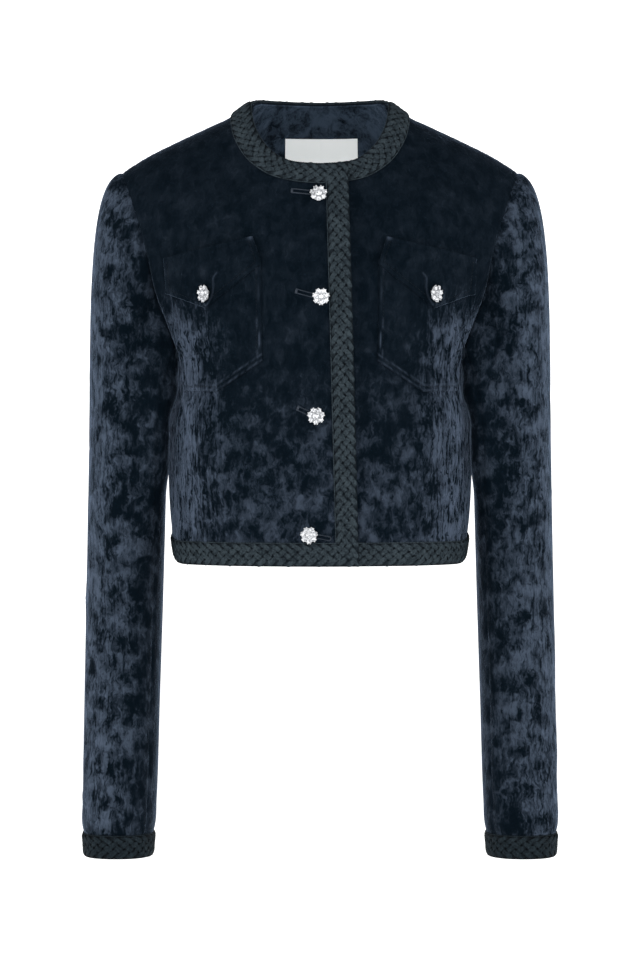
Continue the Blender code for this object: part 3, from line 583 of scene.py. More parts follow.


# Light patches more often at the sides and lower down: painted sheen where the back turns away.
velvet_back = crushed_velvet("velvet_back", (-0.10, -0.30), (0.075, 0.130), (-0.05, -0.17),
                             (0.15, 0.55, 0.75), 0.08, (0.0380, 0.0505, 0.0730))
points = back_grid()
normal = grid_normal(points, np.array([0.0, 1.0, 0.0]))
outside_neck = np.abs(points[..., 0]) > NECK_POINT - 1e-4
normal[:BACK_ROWS[0], [0, -1], 1] = 0
normal[-1, outside_neck[-1], 1] = 0
normal = unit(normal)
back_lines = crease_lines(BACK_CREASES, 13)
back_lines[:BACK_CREASES[0][0], 0] *= -1
across = run(points, 1)
up = run(points, 0)
nearest = np.minimum(across, across[:, -1:] - across)
shoulder = np.where(outside_neck, up[-1:] - up, 1.0)
lift = body_fold(points) + crease_lift(points[..., 0], points[..., 2], back_lines)
lift = lift * ease(nearest / SEAM_FADE) + seam_dip(nearest, up) + seam_dip(shoulder, across)
back = lifted_panel("back", points, normal, lift, velvet_back)

# Sleeves
# Two-piece sleeves of the same velvet: a wide top piece and a narrow under piece, seamed in front and behind.
# The cap is eased into the armhole and rolls over the shoulder; soft folds cross the elbow.
# Height, inner and outer X, front and back Y of each ring, and how far its inner side sits ahead
SLEEVE = np.array((
    (-0.2350, 0.1357, 0.2122, -0.0540, 0.0660, -0.034),
    (-0.2500, 0.1386, 0.2124, -0.0535, 0.0655, -0.035),
    (-0.2750, 0.1393, 0.2126, -0.0530, 0.0650, -0.034),
    (-0.3000, 0.1401, 0.2130, -0.0520, 0.0640, -0.030),
    (-0.3400, 0.1417, 0.2137, -0.0490, 0.0620, -0.018),
    (-0.4200, 0.1445, 0.2152, -0.0460, 0.0580, -0.004),
    (-0.5100, 0.1472, 0.2158, -0.0520, 0.0460, 0.000),
    (-0.6000, 0.1496, 0.2170, -0.0600, 0.0330, 0.000),
    (-0.6230, 0.1508, 0.2172, -0.0622, 0.0284, 0.000),
    (-0.6330, 0.1531, 0.2149, -0.0614, 0.0250, 0.000),
    (-0.6492, 0.1540, 0.2141, -0.0634, 0.0214, 0.000),
))[::-1]
SLEEVE_SQUARE = 2.2
BICEP = -0.2350
CUFF = -0.6492
CAP_LIFT = 1.5
CAP_OUT = 0.0255
CAP_DOWN = 0.150
FRONT_SEAM = 0.105
BACK_SEAM = 0.865
GIRTH = 0.27
TUCK = 0.0010
SEAM_TURN = 0.00002
# Where the sleeve lies against the body: a turn past its inner side, then how far it reaches and how widely,
# first down to a foot height and then about the underarm
SNUG_TURN = 0.03
SNUG = 0.0030
SNUG_WIDTH = 0.05
SNUG_FOOT = -0.325
SNUG_FADE = 0.03
UNDER_SNUG = 0.0036
UNDER_SNUG_WIDTH = 0.06
UNDER_SNUG_HEIGHT = -0.2265
UNDER_SNUG_SPREAD = 0.014
# Turn round from the inner side, height, length, width in turns, lean, depth
SLEEVE_FOLDS = np.array((
    (0.28, -0.300, 0.110, 0.050, 0.30, 0.0018),
    (0.36, -0.395, 0.080, 0.055, -0.40, -0.0020),
    (0.22, -0.440, 0.070, 0.055, 0.50, 0.0018),
    (0.42, -0.540, 0.120, 0.050, 0.20, 0.0016),
    (0.70, -0.350, 0.120, 0.060, -0.30, -0.0020),
    (0.72, -0.470, 0.100, 0.060, 0.30, 0.0020),
))
SLEEVE_CREASES = (
    (60, 0.030, -0.630, 0.230, -0.230, 0.0, 0.50, 0.034, 0.0007),
    (50, 0.030, -0.630, 0.230, -0.180, 0.0, 1.40, 0.016, 0.0006),
    (30, 0.040, -0.230, 0.220, -0.060, 0.0, 0.40, 0.030, 0.0007),
)


def sleeve(turn, level):
    """The left sleeve by turn round from its inner side and level: 0 armhole, 1 upper arm, 2 cuff.

    Above the upper arm each line is a cubic from the armhole's edge to the ring below it, and the cap starts
    outwards; below it the rings are squared ellipses from the sleeve's table.
    """
    turn, level = np.broadcast_arrays(np.asarray(turn, float) % 1.0, np.asarray(level, float))
    height = BICEP + (CUFF - BICEP) * np.clip(level - 1, 0, 1)
    inner, outer, fore, aft, ahead = (smooth(SLEEVE, k, height) for k in (1, 2, 3, 4, 5))
    angle = 2 * np.pi * turn
    across = -np.sign(np.cos(angle)) * np.abs(np.cos(angle)) ** (2 / SLEEVE_SQUARE)
    along = -np.sign(np.sin(angle)) * np.abs(np.sin(angle)) ** (2 / SLEEVE_SQUARE)
    ring = np.stack([(inner + outer) / 2 + across * (outer - inner) / 2,
                     (fore + aft) / 2 + along * (aft - fore) / 2 + ahead * np.clip(-across, 0, 1) ** 2,
                     height], axis=-1)
    aside = (turn + 0.5) % 1 - 0.5 - SNUG_TURN
    ring[..., 0] -= SNUG * np.exp(-(aside / SNUG_WIDTH) ** 2) * ease((height - SNUG_FOOT) / SNUG_FADE)
    on_front = turn <= 0.5
    share = np.where(on_front, turn * 2, 2 - turn * 2)
    edge = np.where(on_front[..., None], torso(*armhole_at(-1, share), -1), torso(*armhole_at(1, share), 1))
    top = np.clip(-np.cos(angle), 0, 1) ** 1.5
    leave = unit(unit(ring - edge) + (CAP_LIFT * top)[..., None] * np.array([1.0, 0.0, 0.45]))
    span = np.linalg.norm(ring - edge, axis=-1)
    reach_out = (0.30 * span * (1 - top) + CAP_OUT * top)[..., None]
    reach_down = (0.35 * span * (1 - top) + CAP_DOWN * top)[..., None]
    out = np.array([1.0, 0.0, 0.0]) * (1 - top)[..., None] + leave * top[..., None]
    start = edge - unit(out) * TUCK
    near = start + leave * reach_out
    far = ring + np.array([0.0, 0.0, 1.0]) * reach_down
    t = np.clip(level, 0, 1)[..., None]
    cap = start * (1 - t) ** 3 + 3 * near * t * (1 - t) ** 2 + 3 * far * t * t * (1 - t) + ring * t ** 3
    made = np.where((level <= 1)[..., None], cap, ring)
    above = (made[..., 2] - UNDER_SNUG_HEIGHT) / UNDER_SNUG_SPREAD
    made[..., 0] -= UNDER_SNUG * np.exp(-(aside / UNDER_SNUG_WIDTH) ** 2) * np.exp(-above ** 2)
    return made


def sleeve_cloth(turn, level, lines):
    """The sleeve with its folds and creases, and its directions out."""
    points = sleeve(turn, level)
    around = sleeve(turn + 1e-4, level) - sleeve(turn - 1e-4, level)
    down = sleeve(turn, np.clip(level + 1e-3, 0, 2)) - sleeve(turn, np.clip(level - 1e-3, 0, 2))
    normal = unit(np.cross(down, around))
    middle, height, length, width, lean, depth = SLEEVE_FOLDS.T
    rise = points[..., 2, None] - height
    bend = ((turn % 1.0)[..., None] - middle - lean * rise) / width
    lift = np.sum(depth * np.exp(-2 * (rise / length) ** 2 - bend ** 2), axis=-1)
    lift = lift + crease_lift((turn % 1.0) * GIRTH, points[..., 2], lines) * ease((level - 0.02) / 0.2)
    return points + normal * lift[..., None], normal


# Lighter patch colour than the fronts', more light patches on the outer side and fewer at the cuff: painted
# sheen, and painted shade at the cuff.
velvet_sleeve = crushed_velvet("velvet_sleeve", (-0.64, -0.52), (0.140, 0.212), (0.00, -0.04),
                               (0.22, 0.14, 0.72), 0.06, (0.0430, 0.0575, 0.0825))
sleeve_levels = np.concatenate([np.linspace(0, 1, 80) ** 1.3, np.linspace(1, 2, 140)[1:]])
sleeve_lines = {-1: crease_lines(SLEEVE_CREASES, 21), 1: crease_lines(SLEEVE_CREASES, 22)}
sleeves = {}
for part, first, last, columns in (("top_sleeve", FRONT_SEAM, BACK_SEAM, 100),
                                   ("under_sleeve", BACK_SEAM - 1, FRONT_SEAM, 40)):
    turn, level = np.meshgrid(np.linspace(first + SEAM_TURN, last - SEAM_TURN, columns), sleeve_levels)
    for side, word in SIDES:
        points, normal = sleeve_cloth(turn, level, sleeve_lines[side])
        across = run(points, 1)
        down = run(points, 0)
        dip = seam_dip(np.minimum(across, across[:, -1:] - across), down) + seam_dip(down, across)
        sleeves[part, side] = lifted_panel(part + "_" + word, points, normal, dip, velvet_sleeve, side)

# Facing inside the back neck
# A shaped strip of the same velvet that finishes the inside of the back neckline, sewn in under the braid.
# Its pile shows through the neck opening, so it is as crushed as the outside.
FACING_WALL = 0.0012
FACING_DEPTH = 0.078
FACING_FOOT_HALF = 0.080
FACING_INSET = 0.003
FACING_RISE = 0.0006


def inside_back(u, z, rise):
    """Points inside the back at a rise above its inner wall."""
    nudge = 0.0006
    points = torso(u, z, 1)
    inward = unit(np.cross(torso(u + nudge, z, 1) - torso(u - nudge, z, 1), points - torso(u, z - nudge, 1)))
    return points + inward * (WALL + rise)[..., None]


velvet_facing = crushed_velvet("velvet_facing", (0.20, 0.10), (0.085, 0.135), (-0.05, -0.17),
                               (0.72, 0.60, 0.85), 0.06, (0.0335, 0.0505, 0.0755))
share = np.linspace(-1, 1, 72)[None]
down = np.linspace(0, 1, 44)[:, None]
top_u = share * (NECK_POINT - FACING_INSET)
u = top_u + (share * FACING_FOOT_HALF - top_u) * down ** 0.6
z = back_top(top_u) - SEAM - FACING_DEPTH * down
rise = REST + FACING_RISE + 0.0004 * np.sin(u / 0.0090 + 1) * np.sin(z / 0.0070)
facing = cloth_panel("back_neck_facing", inside_back(u, z, rise + FACING_WALL),
                     inside_back(u, z, np.full(u.shape, REST)), velvet_facing)

# Label
# A plain woven ribbon, off-white, sewn by its upper edge to the facing inside the back neck.
# It bows a little away from the facing towards its foot.
LABEL_WALL = 0.0006
LABEL_HALF = 0.0355
LABEL_SHIFT = 0.0014
LABEL_TOP = 0.0158
LABEL_FOOT = -0.0250
LABEL_RIBS = 380.0


def label_colour(blank):
    """Off-white satin with faint crosswise ribs and a little dust."""
    dust = blank.noise(blank.place(), 90.0, 3.0, 0.5)
    weave = blank.ribs("Z", LABEL_RIBS, 0.6)
    return blank.mix(weave * 0.5 + dust * 0.5, (0.93, 0.97, 0.97), (0.97, 1.00, 1.00))


def label_bump(blank):
    """Fine ribs of the weave."""
    return blank.bump(0.25, 0.0003, blank.ribs("Z", LABEL_RIBS, 0.6))


ribbon = finish("white_ribbon", label_colour, uneven(0.45, 0.15, 150.0, 2.0), label_bump, Sheen_Weight=0.15)
u, z = np.meshgrid(LABEL_SHIFT + np.linspace(-LABEL_HALF, LABEL_HALF, 70),
                   np.linspace(LABEL_TOP, LABEL_FOOT, 40))
bow = REST * 2 + FACING_WALL + 0.0010 + 0.0009 * np.sin(u / 0.0120 + 0.6) * (LABEL_TOP - z) / 0.04
points, over, under, rim = wall(inside_back(u, z, bow + LABEL_WALL), inside_back(u, z, bow))
label = piece("label_ribbon", [(points, [(over, 0), (rim, 0), (under, 0)])], [ribbon])
stand_for(label, "label")

# Braid
# A flat plait of five thick soft strands with a corded edge, on a narrow tape. It is sewn over the cut edges:
# round the neck, down the lapping front edge, round the hem and round each cuff, mitred at the corners.
BRAID = 0.0200
BRAID_PROUD = 0.0015
STRANDS = 5
CYCLE = 0.0450
STRAND_HALF = 0.0021
STRAND_THICK = 0.00075
STRAND_WAVE = 0.00065
STRAND_MIDDLE = 0.00130
STRAND_SIDES = 10
STRAND_STEP = 0.0010
STRAND_INSET = 0.0004
PLY = 0.0049
EDGE_DROP = 0.45
TAPE = 0.0006
TAPE_STEP = 0.004
CORD_RADIUS = 0.0005
ROLL_RADIUS = 0.0010
ROLL_LOW = -0.0010
ROLL_INSET = 0.0006
ROLL_PITCH = 0.0024
# Colours of the yarn: painted shade in the gaps between strands, and the dark and light of its flecks
YARN_AND_GAP_SHADE = np.array(((0.0026, 0.0045, 0.0062), (0.0050, 0.0082, 0.0108), (0.0245, 0.0325, 0.0375)))


def yarn(name, tint):
    """Matte slate yarn times a given tint, flecked, with painted shade wherever a strand or cord lies low."""
    def colour(blank):
        painted_gap_shade, dark, light = tint * YARN_AND_GAP_SHADE
        at = blank.place()
        height = blank.add("Attribute", {"attribute_name": "height"}, out="Fac")
        fleck = blank.noise(at, 560.0, 3.0, 0.65)
        cloud = blank.noise(at, 120.0, 2.0, 0.5)
        shade = blank.mix((fleck * 0.7 + cloud * 0.3).step(0.30, 0.70), dark, light)
        # Painted shade: points that lie low, in the gaps and under crossings, take the gap colour.
        top = (height + (cloud - 0.5) * 0.35 + (fleck - 0.5) * 0.3).step(0.40, 0.84)
        return blank.mix(top, painted_gap_shade, shade)

    def fibres(blank):
        return blank.bump(0.8, 0.0006, blank.noise(blank.place(), 800.0, 3.0, 0.6))

    return finish(name, colour, uneven(0.75, 0.20, 300.0, 2.0), fibres, Specular_IOR_Level=0.06)


braid = yarn("braid", (0.89, 0.93, 0.96))
# The braid's yarn tinted darker: painted shade for the weaker light at the cuffs.
shaded_cuff_yarn = yarn("shaded_cuff_yarn", (0.36, 0.43, 0.47))


def on_band(lines, s, t, h, ring, heart):
    """Points at s along, t across and h above a band through three lines: edge, middle and far line.

    Across it is a parabola through the three lines; h runs along the cross product of its two directions,
    away from the heart.
    """
    length = run(lines[1])
    period = length[-1] if ring else None
    at = [[np.interp(s + d, length, line[:, k], period=period) for k in range(3)] for line in lines
          for d in (-0.0015, 0.0, 0.0015)]
    at = [np.stack(k, axis=-1) for k in at]
    t = t[..., None]
    place = at[1] * (1 - t) * (1 - 2 * t) + at[4] * 4 * t * (1 - t) + at[7] * t * (2 * t - 1)
    across = at[1] * (4 * t - 3) + at[4] * (4 - 8 * t) + at[7] * (4 * t - 1)
    normal = unit(np.cross(at[5] - at[3], across))
    out = place - np.asarray(heart)
    normal = normal * np.where(np.sum(normal * out) < 0, -1, 1)
    return place + normal * h[..., None]


def tubes(points, ring):
    """Quads round a set of tubes, each a line of rings, and the end faces of open ones."""
    count, rings, sides = points.shape[:3]
    index = np.arange(count * rings * sides).reshape(count, rings, sides)
    near = np.concatenate([index, index[..., :1]], axis=2)
    if ring:
        near = np.concatenate([near, near[:, :1]], axis=1)
    corners = (near[:, :-1, :-1], near[:, 1:, :-1], near[:, 1:, 1:], near[:, :-1, 1:])
    quads = np.stack(corners, axis=-1).reshape(-1, 4)
    ends = np.concatenate([index[:, 0], index[:, -1, ::-1]])
    flat = points.reshape(-1, 3)
    middle = np.repeat(points.mean(axis=2).reshape(-1, 3), sides, axis=0)
    a, b, c, d = (flat[quads[:, k]] for k in range(4))
    if np.sum(np.cross(c - a, d - b) * (a - middle[quads[:, 0]])) < 0:
        quads = quads[:, ::-1]
        ends = ends[:, ::-1]
    return [(quads, 0)] if ring else [(quads, 0), (ends, 0)]


def plait(name, lines, heart, material=braid, ring=False, mitre=(0, 0), rolled=False):
    """A braid on a band: strands that swing from side to side, over and under, with a cord and their tape.

    A strand's way across is a triangle wave with rounded turns, its height a cosine that is up at every
    second crossing, and its section a flat oval with a groove. A mitre of 1 cuts that end at 45 degrees. A
    rolled edge is a knotted cord, a tube whose radius swells in a sine, laid over the cloth's cut edge.
    """
    total = run(lines[1])[-1]
    cycles = max(round(total / CYCLE), 1)
    count = int(total / STRAND_STEP)
    s = np.linspace(0, total, count, endpoint=not ring)[None]
    strand = np.arange(STRANDS)[:, None]
    phase = s / total * cycles + strand / STRANDS
    sway = np.arcsin(0.96 * np.sin(2 * np.pi * (phase - 0.25))) / np.arcsin(0.96)
    k = (2 * STRANDS * phase) % (2 * STRANDS)
    wave = np.where(k < STRANDS, np.cos(np.pi * k), -np.cos(np.pi * k))
    bend = (k + 1) % (2 * STRANDS) - 1
    wave = np.where(np.abs(bend) < 1, -np.sin(np.pi / 2 * bend), wave)
    wave = np.where(np.abs(k - STRANDS) < 1, (-1) ** STRANDS * np.sin(np.pi / 2 * (k - STRANDS)), wave)
    drift = np.sin(2 * np.pi * phase * 1.37 + 2.1 * strand) if not ring else 0
    side_way = sway * (BRAID / 2 - STRAND_INSET - STRAND_HALF) - STRAND_INSET + 0.00035 * drift
    slope = np.gradient(side_way, axis=1) / (total / count)
    size = np.sqrt(1 + slope ** 2)[..., None]
    angle = np.linspace(0, 2 * np.pi, STRAND_SIDES, endpoint=False) - np.pi / 2
    ply = 1 + 0.10 * np.sin(2 * np.pi * s / total * round(total / PLY) + strand)[..., None]
    wide = STRAND_HALF * np.cos(angle) * ply
    groove = 1 - 0.30 * np.exp(-(np.cos(angle) / 0.30) ** 2)
    place = s[..., None] - wide * slope[..., None] / size
    across = 0.5 + (side_way[..., None] + wide / size) / BRAID
    height = STRAND_MIDDLE + STRAND_WAVE * wave[..., None] + STRAND_THICK * np.sin(angle) * groove
    cord_angle = np.linspace(0, 2 * np.pi, 8, endpoint=False)
    cord_s = s[0, ::2, None] + 0 * cord_angle
    cord_across = 1.0 - (CORD_RADIUS - CORD_RADIUS * np.cos(cord_angle) + 0 * cord_s) / BRAID
    cord_height = TAPE + CORD_RADIUS * (1 + np.sin(cord_angle)) + 0 * cord_s
    tape_s, tape_across = np.meshgrid(np.linspace(0, total, int(total / TAPE_STEP), endpoint=not ring),
                                      np.linspace(0, 1, 7))

    def put(along, sideways, up):
        """The points, with the ends cut off square or mitred."""
        if not ring:
            low = mitre[0] * np.clip(sideways, 0, 1) * BRAID
            along = np.clip(along, low, total - mitre[1] * np.clip(sideways, 0, 1) * BRAID)
        dome = 1 - EDGE_DROP * (2 * np.clip(sideways, 0, 1) - 1) ** 4
        return on_band(lines, along, sideways, REST + up * dome, ring, heart)

    strands = put(place, across, height)
    # Each cord's last value is its level for the yarn's painted shade, darker on its underside.
    cords = [(cord_s, cord_across, cord_height, 0.45 + 0.4 * np.sin(cord_angle) + 0 * cord_s)]
    if rolled:
        roll_s = np.linspace(0, total, int(total * 4 / ROLL_PITCH))[:, None] + 0 * cord_angle
        swell = ROLL_RADIUS * (1 + 0.22 * np.sin(2 * np.pi * roll_s / ROLL_PITCH))
        roll_across = (ROLL_INSET + swell * np.cos(cord_angle)) / BRAID
        cords.append((roll_s, roll_across, ROLL_LOW + swell * np.sin(cord_angle), 0.80 + 0 * roll_s))
    tape_face, tape_back = (put(tape_s, tape_across, up + 0 * tape_s) for up in (TAPE, 0.0))
    tape = wall(tape_face, tape_back, ring)
    parts = [(strands, tubes(strands, ring)), (tape[0], [(tape[k], 0) for k in (1, 2, 3)])]
    for along, sideways, up, shade in cords:
        cord = put(along, sideways, up)[None]
        parts.append((cord, tubes(cord, ring)))
    made = piece(name + "_plait", parts, [material])
    # Levels for the yarn's painted shade: strands by their height, the tape wholly shaded, cords by their
    # side.
    top = STRAND_MIDDLE + STRAND_WAVE + STRAND_THICK
    painted_shade_levels = [height / top, np.zeros(len(tape[0])), *(cord[3] for cord in cords)]
    level = np.concatenate([k.ravel() for k in painted_shade_levels])
    layer = made.data.attributes.new("height", "FLOAT", "POINT")
    layer.data.foreach_set("value", level.astype(np.float32))
    return stand_for(made, name)


def between(first, second, share):
    """Widths and heights at a share of the way from one line to another."""
    return [a + (b - a) * share for a, b in zip(first, second)]


def proud(lines, by):
    """The lines of a band with its edge pushed out past the cloth."""
    edge, middle, far = lines
    return [edge + unit(edge - middle) * by, middle, far]


# Neck braid
# From the right front's corner, where it is mitred, round the back to the left front's edge under the lap.
# A knotted cord is rolled over the cut edge.
shares = (0.0, 0.5, 1.0)
stations = np.linspace(neck_station(LAP_TOP) + 0.02, 7, 260)
back_stations = np.linspace(0, 8, 260)[1:]
under_stations = np.linspace(7, neck_station(UNDER_LAP) + 0.02, 240)[1:]
folded = np.where(back_stations <= 4, back_stations, 8 - back_stations)
neck_lines = []
for share in shares:
    right = between(neck_front(stations, 0), neck_front(stations, 1), share)
    left = between(neck_front(under_stations, 0), neck_front(under_stations, 1), share)
    behind = between(*([smooth(NECK_BACK, k, folded) for k in pair] for pair in ((1, 2), (3, 4))), share)
    behind[0] = behind[0] * np.where(back_stations <= 4, -1, 1)
    round_neck = [mirrored(torso(*right, -1)), torso(*behind, 1), torso(*left, -1, UNDER_STEP)]
    neck_lines.append(np.concatenate(round_neck))
neck_braid = plait("neck_braid", proud(neck_lines, BRAID_PROUD), (0, 0, -0.15), mitre=(1, 0), rolled=True)

# Front braid
# Down the right front's lapping edge, mitred into the neck braid above and the hem braid below.
FRONT_BRAID_IN = 0.0004
FRONT_BRAID_PAST = 0.0011
corner_z = float(neck_front(neck_station(LAP_TOP), 0)[1])
edge_z = np.linspace(corner_z + BRAID_PROUD, HEM - FRONT_BRAID_PAST, 240)
lap = LAP_HEM + (LAP_TOP - LAP_HEM) * (edge_z - HEM) / (corner_z - HEM)
widths = [-lap + FRONT_BRAID_IN + (BRAID - FRONT_BRAID_IN) * share for share in shares]
front_lines = [mirrored(torso(u, edge_z, -1)) for u in widths]
front_braid = plait("front_braid", proud(front_lines, BRAID_PROUD * 0.6), (0, 0, -0.2), mitre=(1, 1))

# Hem braid
# Round the hem from the corner below the front braid, over both side seams and the back, to the left front.
HEM_BRAID_IN = 0.0002


def hem_line(above):
    """The hem's line round the jacket, a distance above its edge, out on the broad folds."""
    half = float(smooth(TORSO, 1, HEM + HEM_RISE + above))
    share = pace(300)
    start = -LAP_HEM
    end = -UNDER_LAP + FRONT_BRAID_IN
    right_u = start + (half - start) * share
    back_u = np.concatenate([-half * share[::-1], half * share[1:]])
    left_u = (end + (half - end) * share)[::-1]
    low = HEM + above
    right = mirrored(torso(right_u, low + HEM_RISE * hem_bow(right_u / half), -1))
    behind = torso(back_u, low + HEM_RISE * hem_bow(back_u / half), 1)
    left = torso(left_u, low + HEM_RISE * hem_bow(left_u / half), -1, UNDER_STEP)
    points = np.concatenate([right, behind, left])
    return points + unit(points * np.array([1.0, 1.0, 0.0])) * body_fold(points)[:, None]


hem_lines = [hem_line(HEM_BRAID_IN + (BRAID - HEM_BRAID_IN) * share) for share in shares]
hem_braid = plait("hem_braid", proud(hem_lines, BRAID_PROUD), (0, 0, HEM), mitre=(1, 0))

# Cuff braids
# A closed ring of the braid round the end of each sleeve, its yarn painted darker as shade low down at the
# cuffs.
CUFF_EDGE = 1.9995
cuff_turns = np.linspace(0, 1, 401)
foot = 2 - BRAID / (BICEP - CUFF)
cuff_lines = [sleeve(cuff_turns, CUFF_EDGE + (foot - CUFF_EDGE) * share) for share in shares]
cuff_lines = proud(cuff_lines, BRAID_PROUD)
right_lines = [mirrored(line) for line in cuff_lines]
cuff_braids = {}
for side, word, lines in ((1, "left", cuff_lines), (-1, "right", right_lines)):
    cuff_braids[side] = plait("cuff_braid_" + word, lines, lines[1].mean(axis=0), shaded_cuff_yarn, ring=True)

# Pockets and flaps
# A pointed patch pocket on each chest with a pointed flap over it, of the same velvet, edge-stitched and
# topstitched close to the edges; the stitching pulls the pile down into a line.
POCKET_WALL = 0.0016
FLAP_BASE = REST * 3 + POCKET_WALL + 0.0008
POCKET_TOP = ((0.0524, -0.1120), (0.0960, -0.1220), (0.1365, -0.1340))
POCKET_FOOT = ((0.0511, -0.2025), (0.0917, -0.2295), (0.1235, -0.2275))
FLAP_TOP = ((0.0593, -0.0921), (0.0990, -0.1005), (0.1395, -0.1085))
FLAP_FOOT = ((0.0512, -0.1165), (0.1000, -0.1545), (0.1375, -0.1400))
POCKET_GRID = (84, 96)
FLAP_GRID = (90, 52)
TOPSTITCH = 0.0042
# A pinched line beside the button, by width and height
PINCH = (
    (0.0900, -0.1240), (0.0928, -0.1285), (0.0926, -0.1368), (0.0945, -0.1450), (0.0985, -0.1515),
)
# Pressed flecks inside a pocket's inner edge: distance from it, height, half length, share
FLECKS = (
    (0.0022, -0.1835, 0.0065, 0.50),
    (0.0044, -0.1690, 0.0050, 0.30),
    (0.0040, -0.1200, 0.0060, 0.25),
    (0.0026, -0.1420, 0.0080, 0.14),
    (0.0046, -0.1960, 0.0040, 0.30),
)


def on_front(u, z, side, rise):
    """Points at a rise above a front's cloth, folds and creases included, and their directions out."""
    step = UNDER_STEP if side > 0 else 0.0
    nudge = 0.0008
    points = torso(u, z, -1, step)
    along = torso(u + nudge, z, -1, step) - torso(u - nudge, z, -1, step)
    normal = unit(np.cross(along, torso(u, z + nudge, -1, step) - torso(u, z - nudge, -1, step)))
    lift = body_fold(points) + crease_lift(u, z, front_creases[side]) + rise
    points = points + normal * lift[..., None]
    return (mirrored(points), mirrored(normal)) if side < 0 else (points, normal)


def patch(top, foot, columns, rows):
    """Widths and heights between a top line and a foot line of three corners each."""
    share = np.linspace(0, 2, columns)
    upper, lower = ([np.interp(share, (0, 1, 2), np.array(line)[:, k]) for k in (0, 1)]
                    for line in (top, foot))
    return between(upper, lower, np.linspace(0, 1, rows)[:, None])


def press(made, share):
    """Marks how far the pile is pressed down, for each point of a piece's outer and inner grids."""
    layer = made.data.attributes.new("pressed", "FLOAT", "POINT")
    layer.data.foreach_set("value", np.tile(share.ravel(), 2).astype(np.float32))


def sewn_rise(away):
    """How a sewn-on patch stands up from its edge: round at the edge, pulled down at the topstitching."""
    edge = np.sqrt(np.clip(away / POCKET_WALL, 0, 1))
    groove = 0.0004 * np.exp(-((away - TOPSTITCH) / 0.0011) ** 2)
    return 0.0002 + POCKET_WALL * edge - groove + 0.0006 * ease(away / 0.02)


def sewn_patch(name, side, u, z, base, top_gap):
    """A patch sewn on a front at a base height, its upper edge counted a gap away.

    Gives the piece, and each point's distance from the inner edge and from the foot.
    """
    flat = np.stack([u, z], axis=-1)
    across = run(flat, 1)
    down = run(flat, 0)
    above = down[-1:] - down
    away = np.minimum(np.minimum(across, across[:, -1:] - across), np.minimum(above, down + top_gap))
    face, back_face = (on_front(u, z, side, rise)[0] for rise in (base + sewn_rise(away), base + 0 * away))
    return cloth_panel(name, face, back_face, velvet_front), across, above


pockets = {}
flaps = {}
for side, word in SIDES:
    u, z = patch(POCKET_TOP, POCKET_FOOT, *POCKET_GRID)
    pockets[side], across, above = sewn_patch("pocket_" + word, side, u, z, REST, 1.0)
    lines = np.exp(-((above - 0.0012) / 0.0009) ** 2) + np.exp(-((above - 0.0062) / 0.0009) ** 2)
    broken = 0.17 + 0.10 * np.sin(u / 0.0009 + above / 0.0011) + 0.10 * np.sin(u / 0.0031 + 1 + above / 0.002)
    marks = lines * broken
    for inward, height, half, share in FLECKS:
        marks = marks + share * np.exp(-((across - inward) / 0.0008) ** 2 - ((z - height) / half) ** 4)
    press(pockets[side], np.clip(marks, 0, 1))
    u, z = patch(FLAP_TOP, FLAP_FOOT, *FLAP_GRID)
    flaps[side] = sewn_patch("pocket_flap_" + word, side, u, z, FLAP_BASE, 0.001)[0]
    pinch = np.column_stack([range(len(PINCH)), PINCH])
    line = np.stack([smooth(pinch, k, np.linspace(0, len(PINCH) - 1, 60)) for k in (1, 2)], axis=-1)
    near = np.min(np.hypot(u[..., None] - line[:, 0], z[..., None] - line[:, 1]), axis=-1)
    corner = np.hypot(u - FLAP_TOP[0][0] - 0.002, z - FLAP_TOP[0][1] + 0.001)
    marks = 0.26 * np.exp(-(near / 0.0007) ** 2) + 0.50 * np.exp(-(corner / 0.0022) ** 2)
    press(flaps[side], np.clip(marks, 0, 1))

# Buttons
# Seven round stones in claw settings about a larger middle stone, on a short shank through the cloth.
# The stones are cut glass with painted reflections; the settings and their paired claws are silver coloured
# metal.
BUTTONS = ((-0.0013, -0.0540), (0.0009, -0.1465), (-0.0035, -0.2509), (-0.0097, -0.3573))
POCKET_BUTTON = (0.0975, -0.1418)
BUTTON_HEIGHT = 0.0046
SHANK_RADIUS = 0.0020
SHANK_LENGTH = 0.0028
STONES = 7
MIDDLE_STONE = 0.0031
OUTER_STONE = 0.0023
STONE_RING = 0.0053
CLAW_RING = 0.0074
CLAW_SPREAD = 0.16
BUTTON_LEAN = 0.55
BUTTON_RISE = 0.0005
POCKET_BUTTON_RISE = 0.0064


def painted_facet_reflections(blank):
    """Painted reflections: each facet takes its own grey, from a pattern of small cells."""
    cell = blank.add("TexVoronoi", {"feature": "F1"}, {"Vector": blank.place(), "Scale": 900.0}, out="Color")
    value = blank.add("SeparateColor", (), {0: cell}, 0)
    return blank.mix(value, (0.110, 0.115, 0.125), (0.56, 0.57, 0.59))


def metal_colour(blank):
    """Bright silver coloured plating, greyer in places."""
    return blank.mix(blank.noise(blank.place(), 500.0, 2.0, 0.5), (0.27, 0.28, 0.29), (0.52, 0.53, 0.54))


stone = finish("cut_stone", painted_facet_reflections, uneven(0.14, 0.10, 400.0, 1.0), Metallic=0.12,
               Specular_IOR_Level=0.5)
silver = finish("setting_metal", metal_colour, uneven(0.30, 0.15, 700.0, 3.0, 0.6), Metallic=0.75)


def turned(profile, sides, twist=0.0):
    """Points of a profile of (radius, height) turned about an axis, with quads between rings and end faces.

    twist turns each next ring by a share of one step.
    """
    rings = len(profile)
    turns = np.arange(sides)[None] + twist * np.arange(rings)[:, None]
    angle = 2 * np.pi / sides * turns
    radius, height = (np.array(profile)[:, k, None] for k in (0, 1))
    points = np.stack([radius * np.cos(angle), radius * np.sin(angle), height + 0 * angle], axis=-1)
    index = np.arange(rings * sides).reshape(rings, sides)
    quads = quads_over(np.concatenate([index, index[:, :1]], axis=1))
    return points.reshape(-1, 3), quads, index[:1, ::-1], index[-1:]


